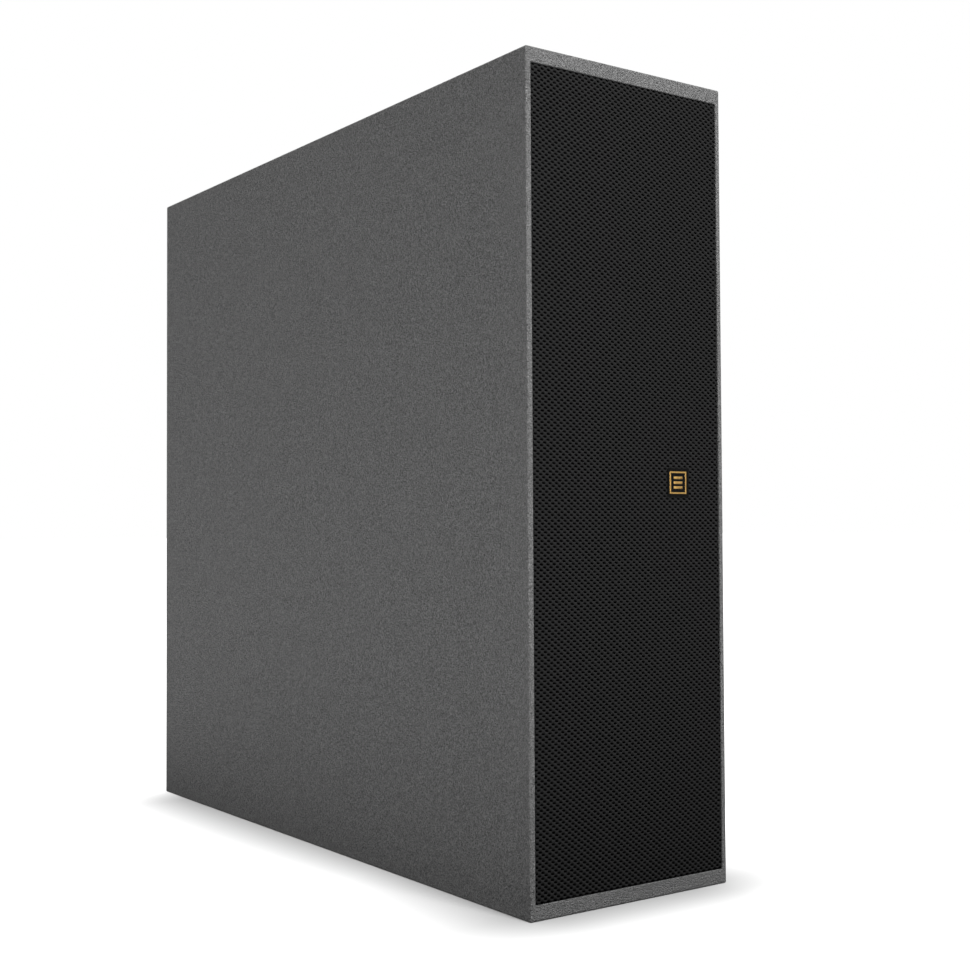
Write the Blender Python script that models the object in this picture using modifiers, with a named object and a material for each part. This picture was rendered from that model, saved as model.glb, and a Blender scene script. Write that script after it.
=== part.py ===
"""Line array speaker: a tall, slim and deep cabinet with one full-height grille.

Behind the grille a baffle carries two low-frequency drivers, a high-frequency waveguide between
them and a slot port at each end. The rear panel holds the connector plate and four inserts.

Frame: metres, +Z up, origin at the centre of the base, the grille facing -Y.
"""

import math

import bmesh
import bpy
from mathutils import Matrix, Vector
from mathutils.geometry import interpolate_bezier

# --- Driving dimensions -------------------------------------------------------------------------

WIDTH = 0.201
DEPTH = 0.662
HEIGHT = 0.650
PANEL = 0.012  # birch plywood of the sides, top and bottom
THICK_PANEL = 0.015  # baffle and rear panel
EDGE_RADIUS = 0.0015
GAP = 0.0003  # between parts that touch

FRONT_Y = -DEPTH / 2
BACK_Y = DEPTH / 2
MIDDLE_Z = HEIGHT / 2
INNER_X = WIDTH / 2 - PANEL
INNER_LOW_Z = PANEL
INNER_HIGH_Z = HEIGHT - PANEL

# Grille: a fabric skin over a folded steel tray, pushed in on four studs.
SIDE_LIP = 0.0045  # what is left of each side panel in front of the grille's seat
SEAT_DEPTH = 0.0145
GRILLE_RECESS = 0.0010
FABRIC = 0.0028
STEEL = 0.0012
STUD_X = 0.080
STUD_OFFSET_Z = 0.201
STUD_RADIUS = 0.0025
STUD_HOLE_RADIUS = 0.0028
STUD_DEPTH = 0.010  # how far a stud reaches into the baffle

# Badge: a square plate on a pin that turns in the grille.
BADGE_X = 0.0506
BADGE_Z = 0.3251
BADGE_SIDE = 0.0228
BADGE_THICK = 0.0007
BADGE_PIN_RADIUS = 0.0025
BADGE_HOLE_RADIUS = 0.0030

# Baffle and what it carries.
BAFFLE_Y = FRONT_Y + 0.028
LF_OFFSET_Z = 0.143
PORT_OFFSET_Z = 0.271
LF_CUTOUT_RADIUS = 0.0725
PORT_WIDTH = 0.150
PORT_HEIGHT = 0.054
PORT_WALL = 0.006
PORT_LENGTH = 0.200
PORT_FLARE = 0.004
HORN_HALF_X = 0.078
HORN_HALF_Z = 0.048
HORN_WALL = 0.003
HORN_DEPTH = 0.055
HORN_FLANGE = 0.004
HORN_FLANGE_HALF = (0.085, 0.056)
SLOT_HALF_Z = 0.011
ADAPTER_LENGTH = 0.110
THROAT_RADIUS = 0.018
DRIVER_RADIUS = 0.045
DRIVER_DEPTH = 0.048

# Low-frequency driver, radii and heights above the baffle's front face.
LF_FLANGE_RADIUS = 0.082
LF_FLANGE = 0.005
LF_SEAT_RADIUS = 0.076
LF_SEAT_Z = 0.003
LF_BOWL_RADIUS = 0.0715
LF_BOWL_DEPTH = 0.052
LF_ROLL_RADIUS = 0.0075
LF_ROLL_CENTRE = 0.0625
LF_CONE_EDGE = 0.0555
LF_CONE_RIM = 0.0045  # the flat ring that the surround is glued to
LF_NECK_RADIUS = 0.0197
LF_NECK_Z = -0.0215
LF_PAPER = 0.0008
LF_COIL_RADIUS = 0.0200
LF_FORMER_RADIUS = 0.0193
LF_POLE_RADIUS = 0.0181
LF_PLATE = 0.008
LF_MAGNET = 0.018
LF_MAGNET_RADIUS = 0.060
LF_PLATE_RADIUS = 0.056
TERMINAL_ANGLE = 30  # degrees from +X, between two windows of the basket
TERMINAL_RADIUS = 0.0700
TERMINAL_DEPTH = 0.030

# Rear panel.
PLATE_X = 0.110
PLATE_Z = 0.100
PLATE = 0.0025
PLATE_LEDGE = 0.010
PLATE_RECESS = 0.0085
SOCKET_X = 0.024
SOCKET_Z = MIDDLE_Z + 0.018
SOCKET_BORE = 0.0115
SOCKET_BARREL = 0.0135
SOCKET_DEPTH = 0.022
TERMINAL_Z = MIDDLE_Z - 0.028
TERMINAL_PITCH = 0.010
BUTTON_SIDE = 0.006
BUTTON_OFFSET_Z = 0.004  # above the middle of the terminal block
BUTTON_WELL = 0.008
BUTTON_LENGTH = 0.0072
BUTTON_PROUD = 0.0022
WIRE_OFFSET_Z = -0.005
WIRE_HOLE_RADIUS = 0.0016
INSERT_X = 0.060
INSERT_OFFSET_Z = 0.200
INSERT_RADIUS = 0.0065
INSERT_BORE = 0.0034

# Inside.
BRACE_Y = 0.060
BRACE_RAIL = 0.022
BOARD_Y = 0.185
BOARD_HALF = (0.060, 0.070)
BOARD_LOW_Z = INNER_LOW_Z + 0.008
BOARD_TOP_Z = INNER_LOW_Z + 0.010
CABLE_RADIUS = 0.0028
LINING = 0.020
LINING_LOW_Z = 0.120
LINING_HIGH_Z = 0.590
LINING_CLEARANCE = 0.010  # from the brace and the rear panel

STEPS = 24  # facets of a large turned part
SMALL_STEPS = 16  # and of a small one

# --- Scene --------------------------------------------------------------------------------------

for leftover in list(bpy.data.objects):
    bpy.data.objects.remove(leftover)

parts = bpy.data.collections.new("line_array_speaker")
tools = bpy.data.collections.new("cutters")
bpy.context.scene.collection.children.link(parts)
bpy.context.scene.collection.children.link(tools)


def make_material(name, colour, roughness, metallic=0.0):
    material = bpy.data.materials.new(name)
    material.use_nodes = True
    shader = material.node_tree.nodes["Principled BSDF"]
    shader.inputs["Base Color"].default_value = (*colour, 1.0)
    shader.inputs["Roughness"].default_value = roughness
    shader.inputs["Metallic"].default_value = metallic
    return material


PAINT = make_material("textured_grey_paint", (0.10, 0.10, 0.10), 0.6)
PLYWOOD = make_material("birch_plywood", (0.55, 0.40, 0.25), 0.7)
BLACK_WOOD = make_material("black_painted_wood", (0.02, 0.02, 0.02), 0.8)
CLOTH = make_material("black_acoustic_fabric", (0.012, 0.012, 0.012), 0.9)
BLACK_STEEL = make_material("black_coated_steel", (0.02, 0.02, 0.02), 0.45, 0.6)
ZINC = make_material("zinc_plated_steel", (0.55, 0.55, 0.52), 0.35, 1.0)
GOLD = make_material("gold_badge", (0.62, 0.40, 0.12), 0.3, 1.0)
PAPER = make_material("cone_paper", (0.03, 0.03, 0.03), 0.85)
RUBBER = make_material("rubber", (0.015, 0.015, 0.015), 0.6)
ALLOY = make_material("cast_alloy", (0.05, 0.05, 0.05), 0.5, 0.7)
FERRITE = make_material("ferrite", (0.06, 0.06, 0.065), 0.55)
SPIDER_CLOTH = make_material("spider_cloth", (0.45, 0.25, 0.08), 0.9)
COPPER = make_material("copper", (0.70, 0.33, 0.18), 0.35, 1.0)
PLASTIC = make_material("black_plastic", (0.015, 0.015, 0.016), 0.4)
ORANGE = make_material("orange_plastic", (0.80, 0.22, 0.02), 0.4)
BOARD = make_material("circuit_board", (0.02, 0.16, 0.06), 0.5)
FOAM = make_material("grey_foam", (0.12, 0.12, 0.13), 0.95)

# Local +Z of a turned part points out of the cabinet's front, or out of its back.
FACING_FRONT = (math.pi / 2, 0, 0)
FACING_BACK = (-math.pi / 2, 0, 0)


# --- Modelling helpers --------------------------------------------------------------------------


def add_object(name, mesh, material=None, location=(0, 0, 0), rotation=(0, 0, 0)):
    """A part if it has a material, or a hidden tool for a Boolean if it has none."""
    obj = bpy.data.objects.new(name, mesh)
    obj.location = location
    obj.rotation_euler = rotation
    if material is None:
        tools.objects.link(obj)
        obj.hide_render = True
        obj.display_type = "WIRE"
        return obj
    parts.objects.link(obj)
    if not mesh.materials:
        mesh.materials.append(material)
    return obj


def mesh_of(form, name):
    """The mesh of a bmesh, with its faces turned out."""
    bmesh.ops.recalc_face_normals(form, faces=form.faces)
    mesh = bpy.data.meshes.new(name)
    form.to_mesh(mesh)
    form.free()
    return mesh


def add_cube(form, low, high):
    low, high = Vector(low), Vector(high)
    matrix = Matrix.Translation((low + high) / 2) @ Matrix.Diagonal((*(high - low), 1))
    return bmesh.ops.create_cube(form, size=1, matrix=matrix)["verts"]


def add_rod(form, radius, low_z, high_z, at=(0, 0), segments=SMALL_STEPS, turn=0.0):
    """An upright cylinder. A turn of half a facet lays a four-sided one square."""
    matrix = Matrix.Translation((at[0], at[1], (low_z + high_z) / 2))
    bmesh.ops.create_cone(
        form,
        cap_ends=True,
        segments=segments,
        radius1=radius,
        radius2=radius,
        depth=high_z - low_z,
        matrix=matrix @ Matrix.Rotation(turn, 4, "Z"),
    )


def box(name, low, high, material=None):
    form = bmesh.new()
    add_cube(form, low, high)
    return add_object(name, mesh_of(form, name), material)


def boxes(name, spans):
    """One cutting tool made of several boxes that don't touch."""
    form = bmesh.new()
    for low, high in spans:
        add_cube(form, low, high)
    return add_object(name, mesh_of(form, name))


def rods(name, radius, places, low_y, high_y, material=None, segments=SMALL_STEPS):
    """Cylinders along Y at places (x, z), as one object."""
    form = bmesh.new()
    for x, z in places:
        add_rod(form, radius, low_y, high_y, (x, -z), segments)
    # FACING_BACK takes local (x, -z, y) to (x, y, z).
    return add_object(name, mesh_of(form, name), material, rotation=FACING_BACK)


def combine(obj, tool, operation="DIFFERENCE"):
    modifier = obj.modifiers.new(tool.name, "BOOLEAN")
    modifier.operation = operation
    modifier.object = tool
    return obj


def turned(name, profile, material, location, rotation=FACING_FRONT, steps=STEPS):
    """A solid of revolution about local Z. The profile of (radius, height) points runs clockwise,
    down its outer side. It is closed unless it starts and ends on the axis."""
    form = bmesh.new()
    points = [form.verts.new((radius, 0, height)) for radius, height in profile]
    for first, second in zip(points, points[1:]):
        form.edges.new((first, second))
    if profile[0][0] > 0:
        form.edges.new((points[-1], points[0]))
    mesh = bpy.data.meshes.new(name)
    form.to_mesh(mesh)
    form.free()
    obj = add_object(name, mesh, material, location, rotation)
    screw = obj.modifiers.new("turn", "SCREW")
    screw.axis = "Z"
    screw.steps = screw.render_steps = steps
    screw.use_merge_vertices = True
    screw.merge_threshold = 0.00005
    screw.use_smooth_shade = True
    return obj


def arc(centre, radius, start, end, segments):
    """Points on a circle from one angle to another, in degrees."""
    angles = [math.radians(start + (end - start) * i / segments) for i in range(segments + 1)]
    return [(centre[0] + radius * math.cos(a), centre[1] + radius * math.sin(a)) for a in angles]


def dome(radius, rim_z, apex_z, segments):
    """Points of a spherical cap from its apex on the axis to its rim."""
    rise = apex_z - rim_z
    sphere = (radius**2 + rise**2) / (2 * abs(rise))
    centre_z = apex_z - math.copysign(sphere, rise)
    half_angle = math.asin(radius / sphere)
    angles = [half_angle * i / segments for i in range(segments + 1)]
    return [
        (sphere * math.sin(a), centre_z + math.copysign(sphere * math.cos(a), rise))
        for a in angles
    ]


def loft(name, sections, material=None, location=(0, 0, 0)):
    """A closed solid through sections of equally many points, from front to back."""
    form = bmesh.new()
    rings = [[form.verts.new(point) for point in section] for section in sections]
    for ring, following in zip(rings, rings[1:]):
        count = len(ring)
        for i in range(count):
            j = (i + 1) % count
            form.faces.new((ring[i], ring[j], following[j], following[i]))
    form.faces.new(rings[0][::-1])
    form.faces.new(rings[-1])
    return add_object(name, mesh_of(form, name), material, location)


def rounded_section(y, half_x, half_z, squareness, count=24):
    """A superellipse at depth y: squareness 2 is an ellipse, and more is nearer a rectangle."""
    section = []
    for i in range(count):
        angle = 2 * math.pi * i / count
        cosine, sine = math.cos(angle), math.sin(angle)
        x = half_x * math.copysign(abs(cosine) ** (2 / squareness), cosine)
        z = half_z * math.copysign(abs(sine) ** (2 / squareness), sine)
        section.append((x, y, z))
    return section


def smooth_route(corners, per_span=5):
    """Points of a smooth curve through the corners, with tangents along each corner's neighbours."""
    corners = [Vector(corner) for corner in corners]
    last = len(corners) - 1
    points = []
    for i in range(last):
        before, after = corners[max(i - 1, 0)], corners[min(i + 2, last)]
        start, end = corners[i], corners[i + 1]
        handle_out = start + (end - before) / 6
        handle_in = end - (after - start) / 6
        span = interpolate_bezier(start, handle_out, handle_in, end, per_span + 1)
        points += span if i == last - 1 else span[:-1]
    return points


def cable(name, corners, material=RUBBER):
    points = smooth_route(corners)
    curve = bpy.data.curves.new(name, "CURVE")
    curve.dimensions = "3D"
    curve.bevel_depth = CABLE_RADIUS
    curve.bevel_resolution = 2
    curve.use_fill_caps = True
    spline = curve.splines.new("POLY")
    spline.points.add(len(points) - 1)
    for point, place in zip(spline.points, points):
        point.co = (*place, 1)
    curve.materials.append(material)
    obj = bpy.data.objects.new(name, curve)
    parts.objects.link(obj)
    return obj


# --- Cabinet woodwork ---------------------------------------------------------------------------


def outer_form():
    """The whole cabinet as one block with rounded edges, which every outside panel is trimmed to."""
    block = box("outer_form", (-WIDTH / 2, FRONT_Y, 0), (WIDTH / 2, BACK_Y, HEIGHT))
    bevel = block.modifiers.new("round", "BEVEL")
    bevel.width = EDGE_RADIUS
    bevel.segments = 2
    return block


OUTSIDE = 0.010  # how far a cutter, or a panel before it is trimmed, stands past a surface
FORM = outer_form()


def side_panel(name, side):
    inner, outer = sorted((side * INNER_X, side * (WIDTH / 2 + OUTSIDE)))
    low = (inner, FRONT_Y - OUTSIDE, -OUTSIDE)
    high = (outer, BACK_Y + OUTSIDE, HEIGHT + OUTSIDE)
    panel = combine(box(name, low, high, PAINT), FORM, "INTERSECT")
    near, far = sorted((side * (INNER_X - OUTSIDE), side * (WIDTH / 2 - SIDE_LIP)))
    seat = box(
        name + "_seat",
        (near, FRONT_Y - OUTSIDE, INNER_LOW_Z),
        (far, FRONT_Y + SEAT_DEPTH, INNER_HIGH_Z),
    )
    return combine(panel, seat)


def end_panel(name, low_z, high_z):
    reach_x = INNER_X - GAP
    low = (-reach_x, FRONT_Y - OUTSIDE, low_z)
    high = (reach_x, BACK_Y + OUTSIDE, high_z)
    return combine(box(name, low, high, PAINT), FORM, "INTERSECT")


def inside_board(name, low_y, high_y, material):
    """A board across the cabinet's whole inside."""
    return box(
        name,
        (-INNER_X + GAP, low_y, INNER_LOW_Z + GAP),
        (INNER_X - GAP, high_y, INNER_HIGH_Z - GAP),
        material,
    )


def plate_span(half_x, half_z, low_y, high_y, centre_z=MIDDLE_Z, centre_x=0.0):
    """The two corners of a box centred on a place of the front or rear panel."""
    return (
        (centre_x - half_x, low_y, centre_z - half_z),
        (centre_x + half_x, high_y, centre_z + half_z),
    )


def stud_places():
    return [(sx * STUD_X, MIDDLE_Z + sz * STUD_OFFSET_Z) for sx in (-1, 1) for sz in (-1, 1)]


def insert_places():
    return [(sx * INSERT_X, MIDDLE_Z + sz * INSERT_OFFSET_Z) for sz in (1, -1) for sx in (-1, 1)]


def front_baffle():
    low_y, high_y = BAFFLE_Y, BAFFLE_Y + THICK_PANEL
    baffle = inside_board("front_baffle", low_y, high_y, BLACK_WOOD)
    through = (low_y - OUTSIDE, high_y + OUTSIDE)
    woofer_places = [(0, MIDDLE_Z + s * LF_OFFSET_Z) for s in (-1, 1)]
    combine(baffle, rods("woofer_holes", LF_CUTOUT_RADIUS, woofer_places, *through, segments=32))
    horn_half_x = HORN_HALF_X + HORN_WALL + 2 * GAP
    horn_half_z = HORN_HALF_Z + HORN_WALL + 2 * GAP
    spans = [plate_span(horn_half_x, horn_half_z, *through)]
    for s in (-1, 1):
        half = (PORT_WIDTH / 2 + GAP, PORT_HEIGHT / 2 + GAP)
        spans.append(plate_span(*half, *through, MIDDLE_Z + s * PORT_OFFSET_Z))
    combine(baffle, boxes("horn_and_port_holes", spans))
    return combine(baffle, rods("stud_holes", STUD_HOLE_RADIUS, stud_places(), *through, segments=12))


def back_panel():
    panel = inside_board("back_panel", BACK_Y - THICK_PANEL, BACK_Y, PAINT)
    recess = plate_span(PLATE_X / 2 + GAP, PLATE_Z / 2 + GAP, BACK_Y - PLATE_RECESS, BACK_Y + OUTSIDE)
    ledge_x, ledge_z = PLATE_X / 2 - PLATE_LEDGE, PLATE_Z / 2 - PLATE_LEDGE
    window = plate_span(ledge_x, ledge_z, BACK_Y - THICK_PANEL - OUTSIDE, BACK_Y)
    combine(panel, boxes("plate_recess", [recess]))
    combine(panel, boxes("plate_window", [window]))
    through = (BACK_Y - THICK_PANEL - OUTSIDE, BACK_Y + OUTSIDE)
    return combine(panel, rods("insert_holes", INSERT_RADIUS + GAP, insert_places(), *through))


def window_brace():
    """A frame across the middle of the cabinet, with two windows and a bar between them."""
    brace = inside_board("window_brace", BRACE_Y, BRACE_Y + PANEL, PLYWOOD)
    half_x = INNER_X - BRACE_RAIL
    window_z = (INNER_HIGH_Z - INNER_LOW_Z - 3 * BRACE_RAIL) / 2
    through = (BRACE_Y - OUTSIDE, BRACE_Y + PANEL + OUTSIDE)
    centres = [MIDDLE_Z + s * (window_z + BRACE_RAIL) / 2 for s in (-1, 1)]
    spans = [plate_span(half_x, window_z / 2, *through, centre) for centre in centres]
    return combine(brace, boxes("brace_windows", spans))


def port_duct(name, centre_z):
    """A rectangular tube through the baffle whose mouth widens over its first centimetre."""
    back_y = BAFFLE_Y + PORT_LENGTH
    duct = box(name, *plate_span(PORT_WIDTH / 2, PORT_HEIGHT / 2, BAFFLE_Y, back_y, centre_z), BLACK_WOOD)
    half_x, half_z = PORT_WIDTH / 2 - PORT_WALL, PORT_HEIGHT / 2 - PORT_WALL
    # Each station is a distance behind the mouth and a share of the flare.
    stations = [(-0.001, 1.2), (0.002, 0.55), (0.005, 0.18), (0.010, 0.0), (PORT_LENGTH + 0.001, 0.0)]
    sections = []
    for along, share in stations:
        grow = PORT_FLARE * share
        sections.append(rounded_section(BAFFLE_Y + along, half_x + grow, half_z + grow, 14, 20))
    return combine(duct, loft(name + "_channel", sections, location=(0, 0, centre_z)))


side_panel("left_side_panel", -1)
side_panel("right_side_panel", 1)
end_panel("bottom_panel", -OUTSIDE, INNER_LOW_Z)
end_panel("top_panel", INNER_HIGH_Z, HEIGHT + OUTSIDE)
front_baffle()
back_panel()
window_brace()
port_duct("upper_port_duct", MIDDLE_Z + PORT_OFFSET_Z)
port_duct("lower_port_duct", MIDDLE_Z - PORT_OFFSET_Z)


# --- Low-frequency drivers ----------------------------------------------------------------------


def cone_height(radius):
    """The height of the cone's upper surface, which steepens towards the neck."""
    curve = 0.85
    flat_radius = LF_CONE_EDGE - LF_CONE_RIM
    share = (radius - LF_NECK_RADIUS) / (flat_radius - LF_NECK_RADIUS)
    return LF_NECK_Z + (LF_SEAT_Z - LF_NECK_Z) * max(share, 0.0) ** curve


def basket(name, location):
    wall = 0.003
    foot_radius, foot_top_z, hole_radius = 0.052, -0.046, 0.027
    landing_inner, landing_outer, landing_z = 0.043, 0.0495, -0.0415
    floor_z = -LF_BOWL_DEPTH + wall
    skirt_z = -0.010
    window_count, window_half, window_low_z, window_high_z = 6, 0.020, -0.0375, -0.0140
    profile = [
        (LF_SEAT_RADIUS, LF_FLANGE),
        (LF_FLANGE_RADIUS, LF_FLANGE),
        (LF_FLANGE_RADIUS, GAP),
        (LF_BOWL_RADIUS, GAP),
        (LF_BOWL_RADIUS, skirt_z),
        (foot_radius, foot_top_z),
        (foot_radius, -LF_BOWL_DEPTH),
        (hole_radius, -LF_BOWL_DEPTH),
        (hole_radius, floor_z),
        (landing_inner, floor_z),
        (landing_inner, landing_z),
        (landing_outer, landing_z),
        (LF_BOWL_RADIUS - wall, skirt_z),
        (LF_BOWL_RADIUS - wall, LF_SEAT_Z),
        (LF_SEAT_RADIUS, LF_SEAT_Z),
    ]
    frame = turned(name, profile, ALLOY, location)
    form = bmesh.new()
    for i in range(window_count):
        low = (landing_inner, -window_half, window_low_z)
        high = (LF_FLANGE_RADIUS + OUTSIDE, window_half, window_high_z)
        corners = add_cube(form, low, high)
        spin = Matrix.Rotation(2 * math.pi * i / window_count, 3, "Z")
        bmesh.ops.rotate(form, verts=corners, matrix=spin)
    windows = add_object(name + "_windows", mesh_of(form, name + "_windows"), None, location, FACING_FRONT)
    combine(frame, windows)
    form = bmesh.new()
    half_width, half_thick = 0.009, 0.003
    low = (foot_radius, -half_width, -TERMINAL_DEPTH - half_thick)
    high = (TERMINAL_RADIUS, half_width, -TERMINAL_DEPTH + half_thick)
    corners = add_cube(form, low, high)
    spin = Matrix.Rotation(math.radians(TERMINAL_ANGLE), 3, "Z")
    bmesh.ops.rotate(form, verts=corners, matrix=spin)
    strip = add_object(name + "_terminals", mesh_of(form, name + "_terminals"), None, location, FACING_FRONT)
    return combine(frame, strip, "UNION")


def surround(name, location):
    """The rubber half roll between the cone's edge and the basket's seat."""
    skin = 0.0006
    low = LF_SEAT_Z + GAP
    high = low + skin
    centre = LF_ROLL_CENTRE
    inner_lip, outer_lip = LF_CONE_EDGE - 0.004, LF_SEAT_RADIUS - GAP
    profile = [(inner_lip, high)]
    profile += arc((centre, high), LF_ROLL_RADIUS, 180, 0, 5)
    profile += [(outer_lip, high), (outer_lip, low)]
    profile += arc((centre, low), LF_ROLL_RADIUS - skin, 0, 180, 5)
    profile += [(inner_lip, low)]
    return turned(name, profile, RUBBER, location)


def cone(name, location):
    edge = LF_CONE_EDGE
    flat = edge - LF_CONE_RIM
    radii = [flat + (LF_NECK_RADIUS - flat) * i / 4 for i in range(5)]
    under = [(r, cone_height(r) - LF_PAPER) for r in radii]
    upper = [(r, cone_height(r)) for r in reversed(radii)]
    profile = [(edge, LF_SEAT_Z), (edge, LF_SEAT_Z - LF_PAPER)] + under + upper
    return turned(name, profile, PAPER, location)


def dust_cap(name, location):
    radius, rise, skin = 0.026, 0.008, 0.0007
    rim_z = cone_height(radius) + 0.0006
    outer = dome(radius, rim_z, rim_z + rise, 4)
    inner = dome(radius - skin, rim_z, rim_z + rise - skin, 4)
    return turned(name, outer + inner[::-1], PAPER, location)


def voice_coil(name, location):
    """A former with the winding around its lower end, centred in the magnetic gap."""
    former = 0.0006
    gap_z = -LF_BOWL_DEPTH - GAP - LF_PLATE / 2
    winding = 0.014
    top_z, bottom_z = LF_NECK_Z + 0.0025, gap_z - winding / 2 - 0.0008
    profile = [
        (LF_FORMER_RADIUS - former, top_z),
        (LF_FORMER_RADIUS, top_z),
        (LF_FORMER_RADIUS, gap_z + winding / 2),
        (LF_COIL_RADIUS, gap_z + winding / 2),
        (LF_COIL_RADIUS, gap_z - winding / 2),
        (LF_FORMER_RADIUS, gap_z - winding / 2),
        (LF_FORMER_RADIUS, bottom_z),
        (LF_FORMER_RADIUS - former, bottom_z),
    ]
    return turned(name, profile, COPPER, location)


def spider(name, location):
    """The corrugated cloth that centres the voice coil."""
    inner, outer, waves, swing, skin = 0.0212, 0.0430, 2, 0.0011, 0.0006
    rest_z = -0.0409
    per_wave = 4
    ripple = []
    for i in range(waves * per_wave + 1):
        share = i / (waves * per_wave)
        height = rest_z + swing * math.sin(2 * math.pi * waves * share)
        ripple.append((inner + (outer - inner) * share, height))
    line = [(LF_COIL_RADIUS, rest_z)] + ripple + [(0.0488, rest_z)]
    upper = [(r, z + skin / 2) for r, z in line]
    under = [(r, z - skin / 2) for r, z in reversed(line)]
    return turned(name, upper + under, SPIDER_CLOTH, location, steps=20)


def ring_profile(inner, outer, top, bottom):
    return [(inner, top), (outer, top), (outer, bottom), (inner, bottom)]


def motor(prefix, location):
    """Top plate, ferrite ring and yoke, stacked behind the basket."""
    top = -LF_BOWL_DEPTH - GAP
    magnet_top = top - LF_PLATE - GAP
    yoke_top = magnet_top - LF_MAGNET - GAP
    yoke_bottom = yoke_top - LF_PLATE
    vent = 0.006
    plate_bore = LF_COIL_RADIUS + 0.0007
    turned(
        prefix + "_top_plate",
        ring_profile(plate_bore, LF_PLATE_RADIUS, top, top - LF_PLATE),
        ZINC,
        location,
    )
    turned(
        prefix + "_magnet",
        ring_profile(0.030, LF_MAGNET_RADIUS, magnet_top, magnet_top - LF_MAGNET),
        FERRITE,
        location,
    )
    yoke = [
        (vent, top),
        (LF_POLE_RADIUS, top),
        (LF_POLE_RADIUS, yoke_top),
        (LF_PLATE_RADIUS, yoke_top),
        (LF_PLATE_RADIUS, yoke_bottom),
        (vent, yoke_bottom),
    ]
    turned(prefix + "_yoke", yoke, ZINC, location)


def low_frequency_driver(prefix, centre_z):
    location = (0, BAFFLE_Y, centre_z)
    basket(prefix + "_basket", location)
    surround(prefix + "_surround", location)
    cone(prefix + "_cone", location)
    dust_cap(prefix + "_dust_cap", location)
    voice_coil(prefix + "_voice_coil", location)
    spider(prefix + "_spider", location)
    motor(prefix, location)


low_frequency_driver("lf_upper", MIDDLE_Z + LF_OFFSET_Z)
low_frequency_driver("lf_lower", MIDDLE_Z - LF_OFFSET_Z)


# --- High-frequency section ---------------------------------------------------------------------


def horn():
    """A mouth that narrows to a slot along X, with a flange on the baffle."""
    stations = [0.0, 0.3, 0.6, 1.0]
    past = 0.002  # how far the channel's tool stands past each end
    outer, inner = [], []
    for share in stations:
        y = BAFFLE_Y + HORN_DEPTH * share
        half_z = HORN_HALF_Z * (SLOT_HALF_Z / HORN_HALF_Z) ** share
        outer.append((y, HORN_HALF_X + HORN_WALL, half_z + HORN_WALL))
        inner.append((y, HORN_HALF_X, half_z))
    y, half_x, half_z = inner[0]
    inner.insert(0, (y - HORN_FLANGE - past, half_x, half_z + past / 2))
    y, half_x, half_z = inner[-1]
    inner.append((y + past, half_x, half_z))

    def rectangle(y, half_x, half_z):
        return [(sx * half_x, y, sz * half_z) for sx, sz in ((1, 1), (-1, 1), (-1, -1), (1, -1))]

    outer[0] = (BAFFLE_Y - HORN_FLANGE / 2, *outer[0][1:])
    body = loft("hf_horn", [rectangle(*s) for s in outer], PLASTIC, (0, 0, MIDDLE_Z))
    flange = boxes(
        "hf_horn_flange",
        [plate_span(*HORN_FLANGE_HALF, BAFFLE_Y - HORN_FLANGE, BAFFLE_Y - GAP)],
    )
    channel = loft("hf_horn_channel", [rectangle(*s) for s in inner], None, (0, 0, MIDDLE_Z))
    return combine(combine(body, flange, "UNION"), channel)


def waveguide(front_y):
    """The adapter from the driver's round throat to the horn's slot."""
    back_y = front_y + ADAPTER_LENGTH
    length = ADAPTER_LENGTH - GAP
    stations = [0.0, 0.25, 0.5, 0.75, 1.0]
    side_wall, end_wall, flange_radius, flange = 0.006, 0.005, 0.040, 0.006
    past = 0.002
    outer, inner = [], []
    for share in stations:
        y = front_y + GAP + length * share
        ease = share * share * (3 - 2 * share)
        half_x = HORN_HALF_X + (THROAT_RADIUS - HORN_HALF_X) * ease
        half_z = SLOT_HALF_Z + (THROAT_RADIUS - SLOT_HALF_Z) * share
        square = 10 - 8 * ease
        outer.append(rounded_section(y, half_x + side_wall, half_z + end_wall, square))
        inner.append(rounded_section(y, half_x, half_z, square))
    inner.insert(0, [(x, front_y - past, z) for x, _, z in inner[0]])
    inner.append([(x, back_y + past, z) for x, _, z in inner[-1]])
    body = loft("hf_waveguide", outer, PLASTIC, (0, 0, MIDDLE_Z))
    place = [(0, MIDDLE_Z)]
    disc = rods("hf_waveguide_flange", flange_radius, place, back_y - flange, back_y, segments=STEPS)
    channel = loft("hf_waveguide_channel", inner, None, (0, 0, MIDDLE_Z))
    combine(combine(body, disc, "UNION"), channel)
    return back_y


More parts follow.
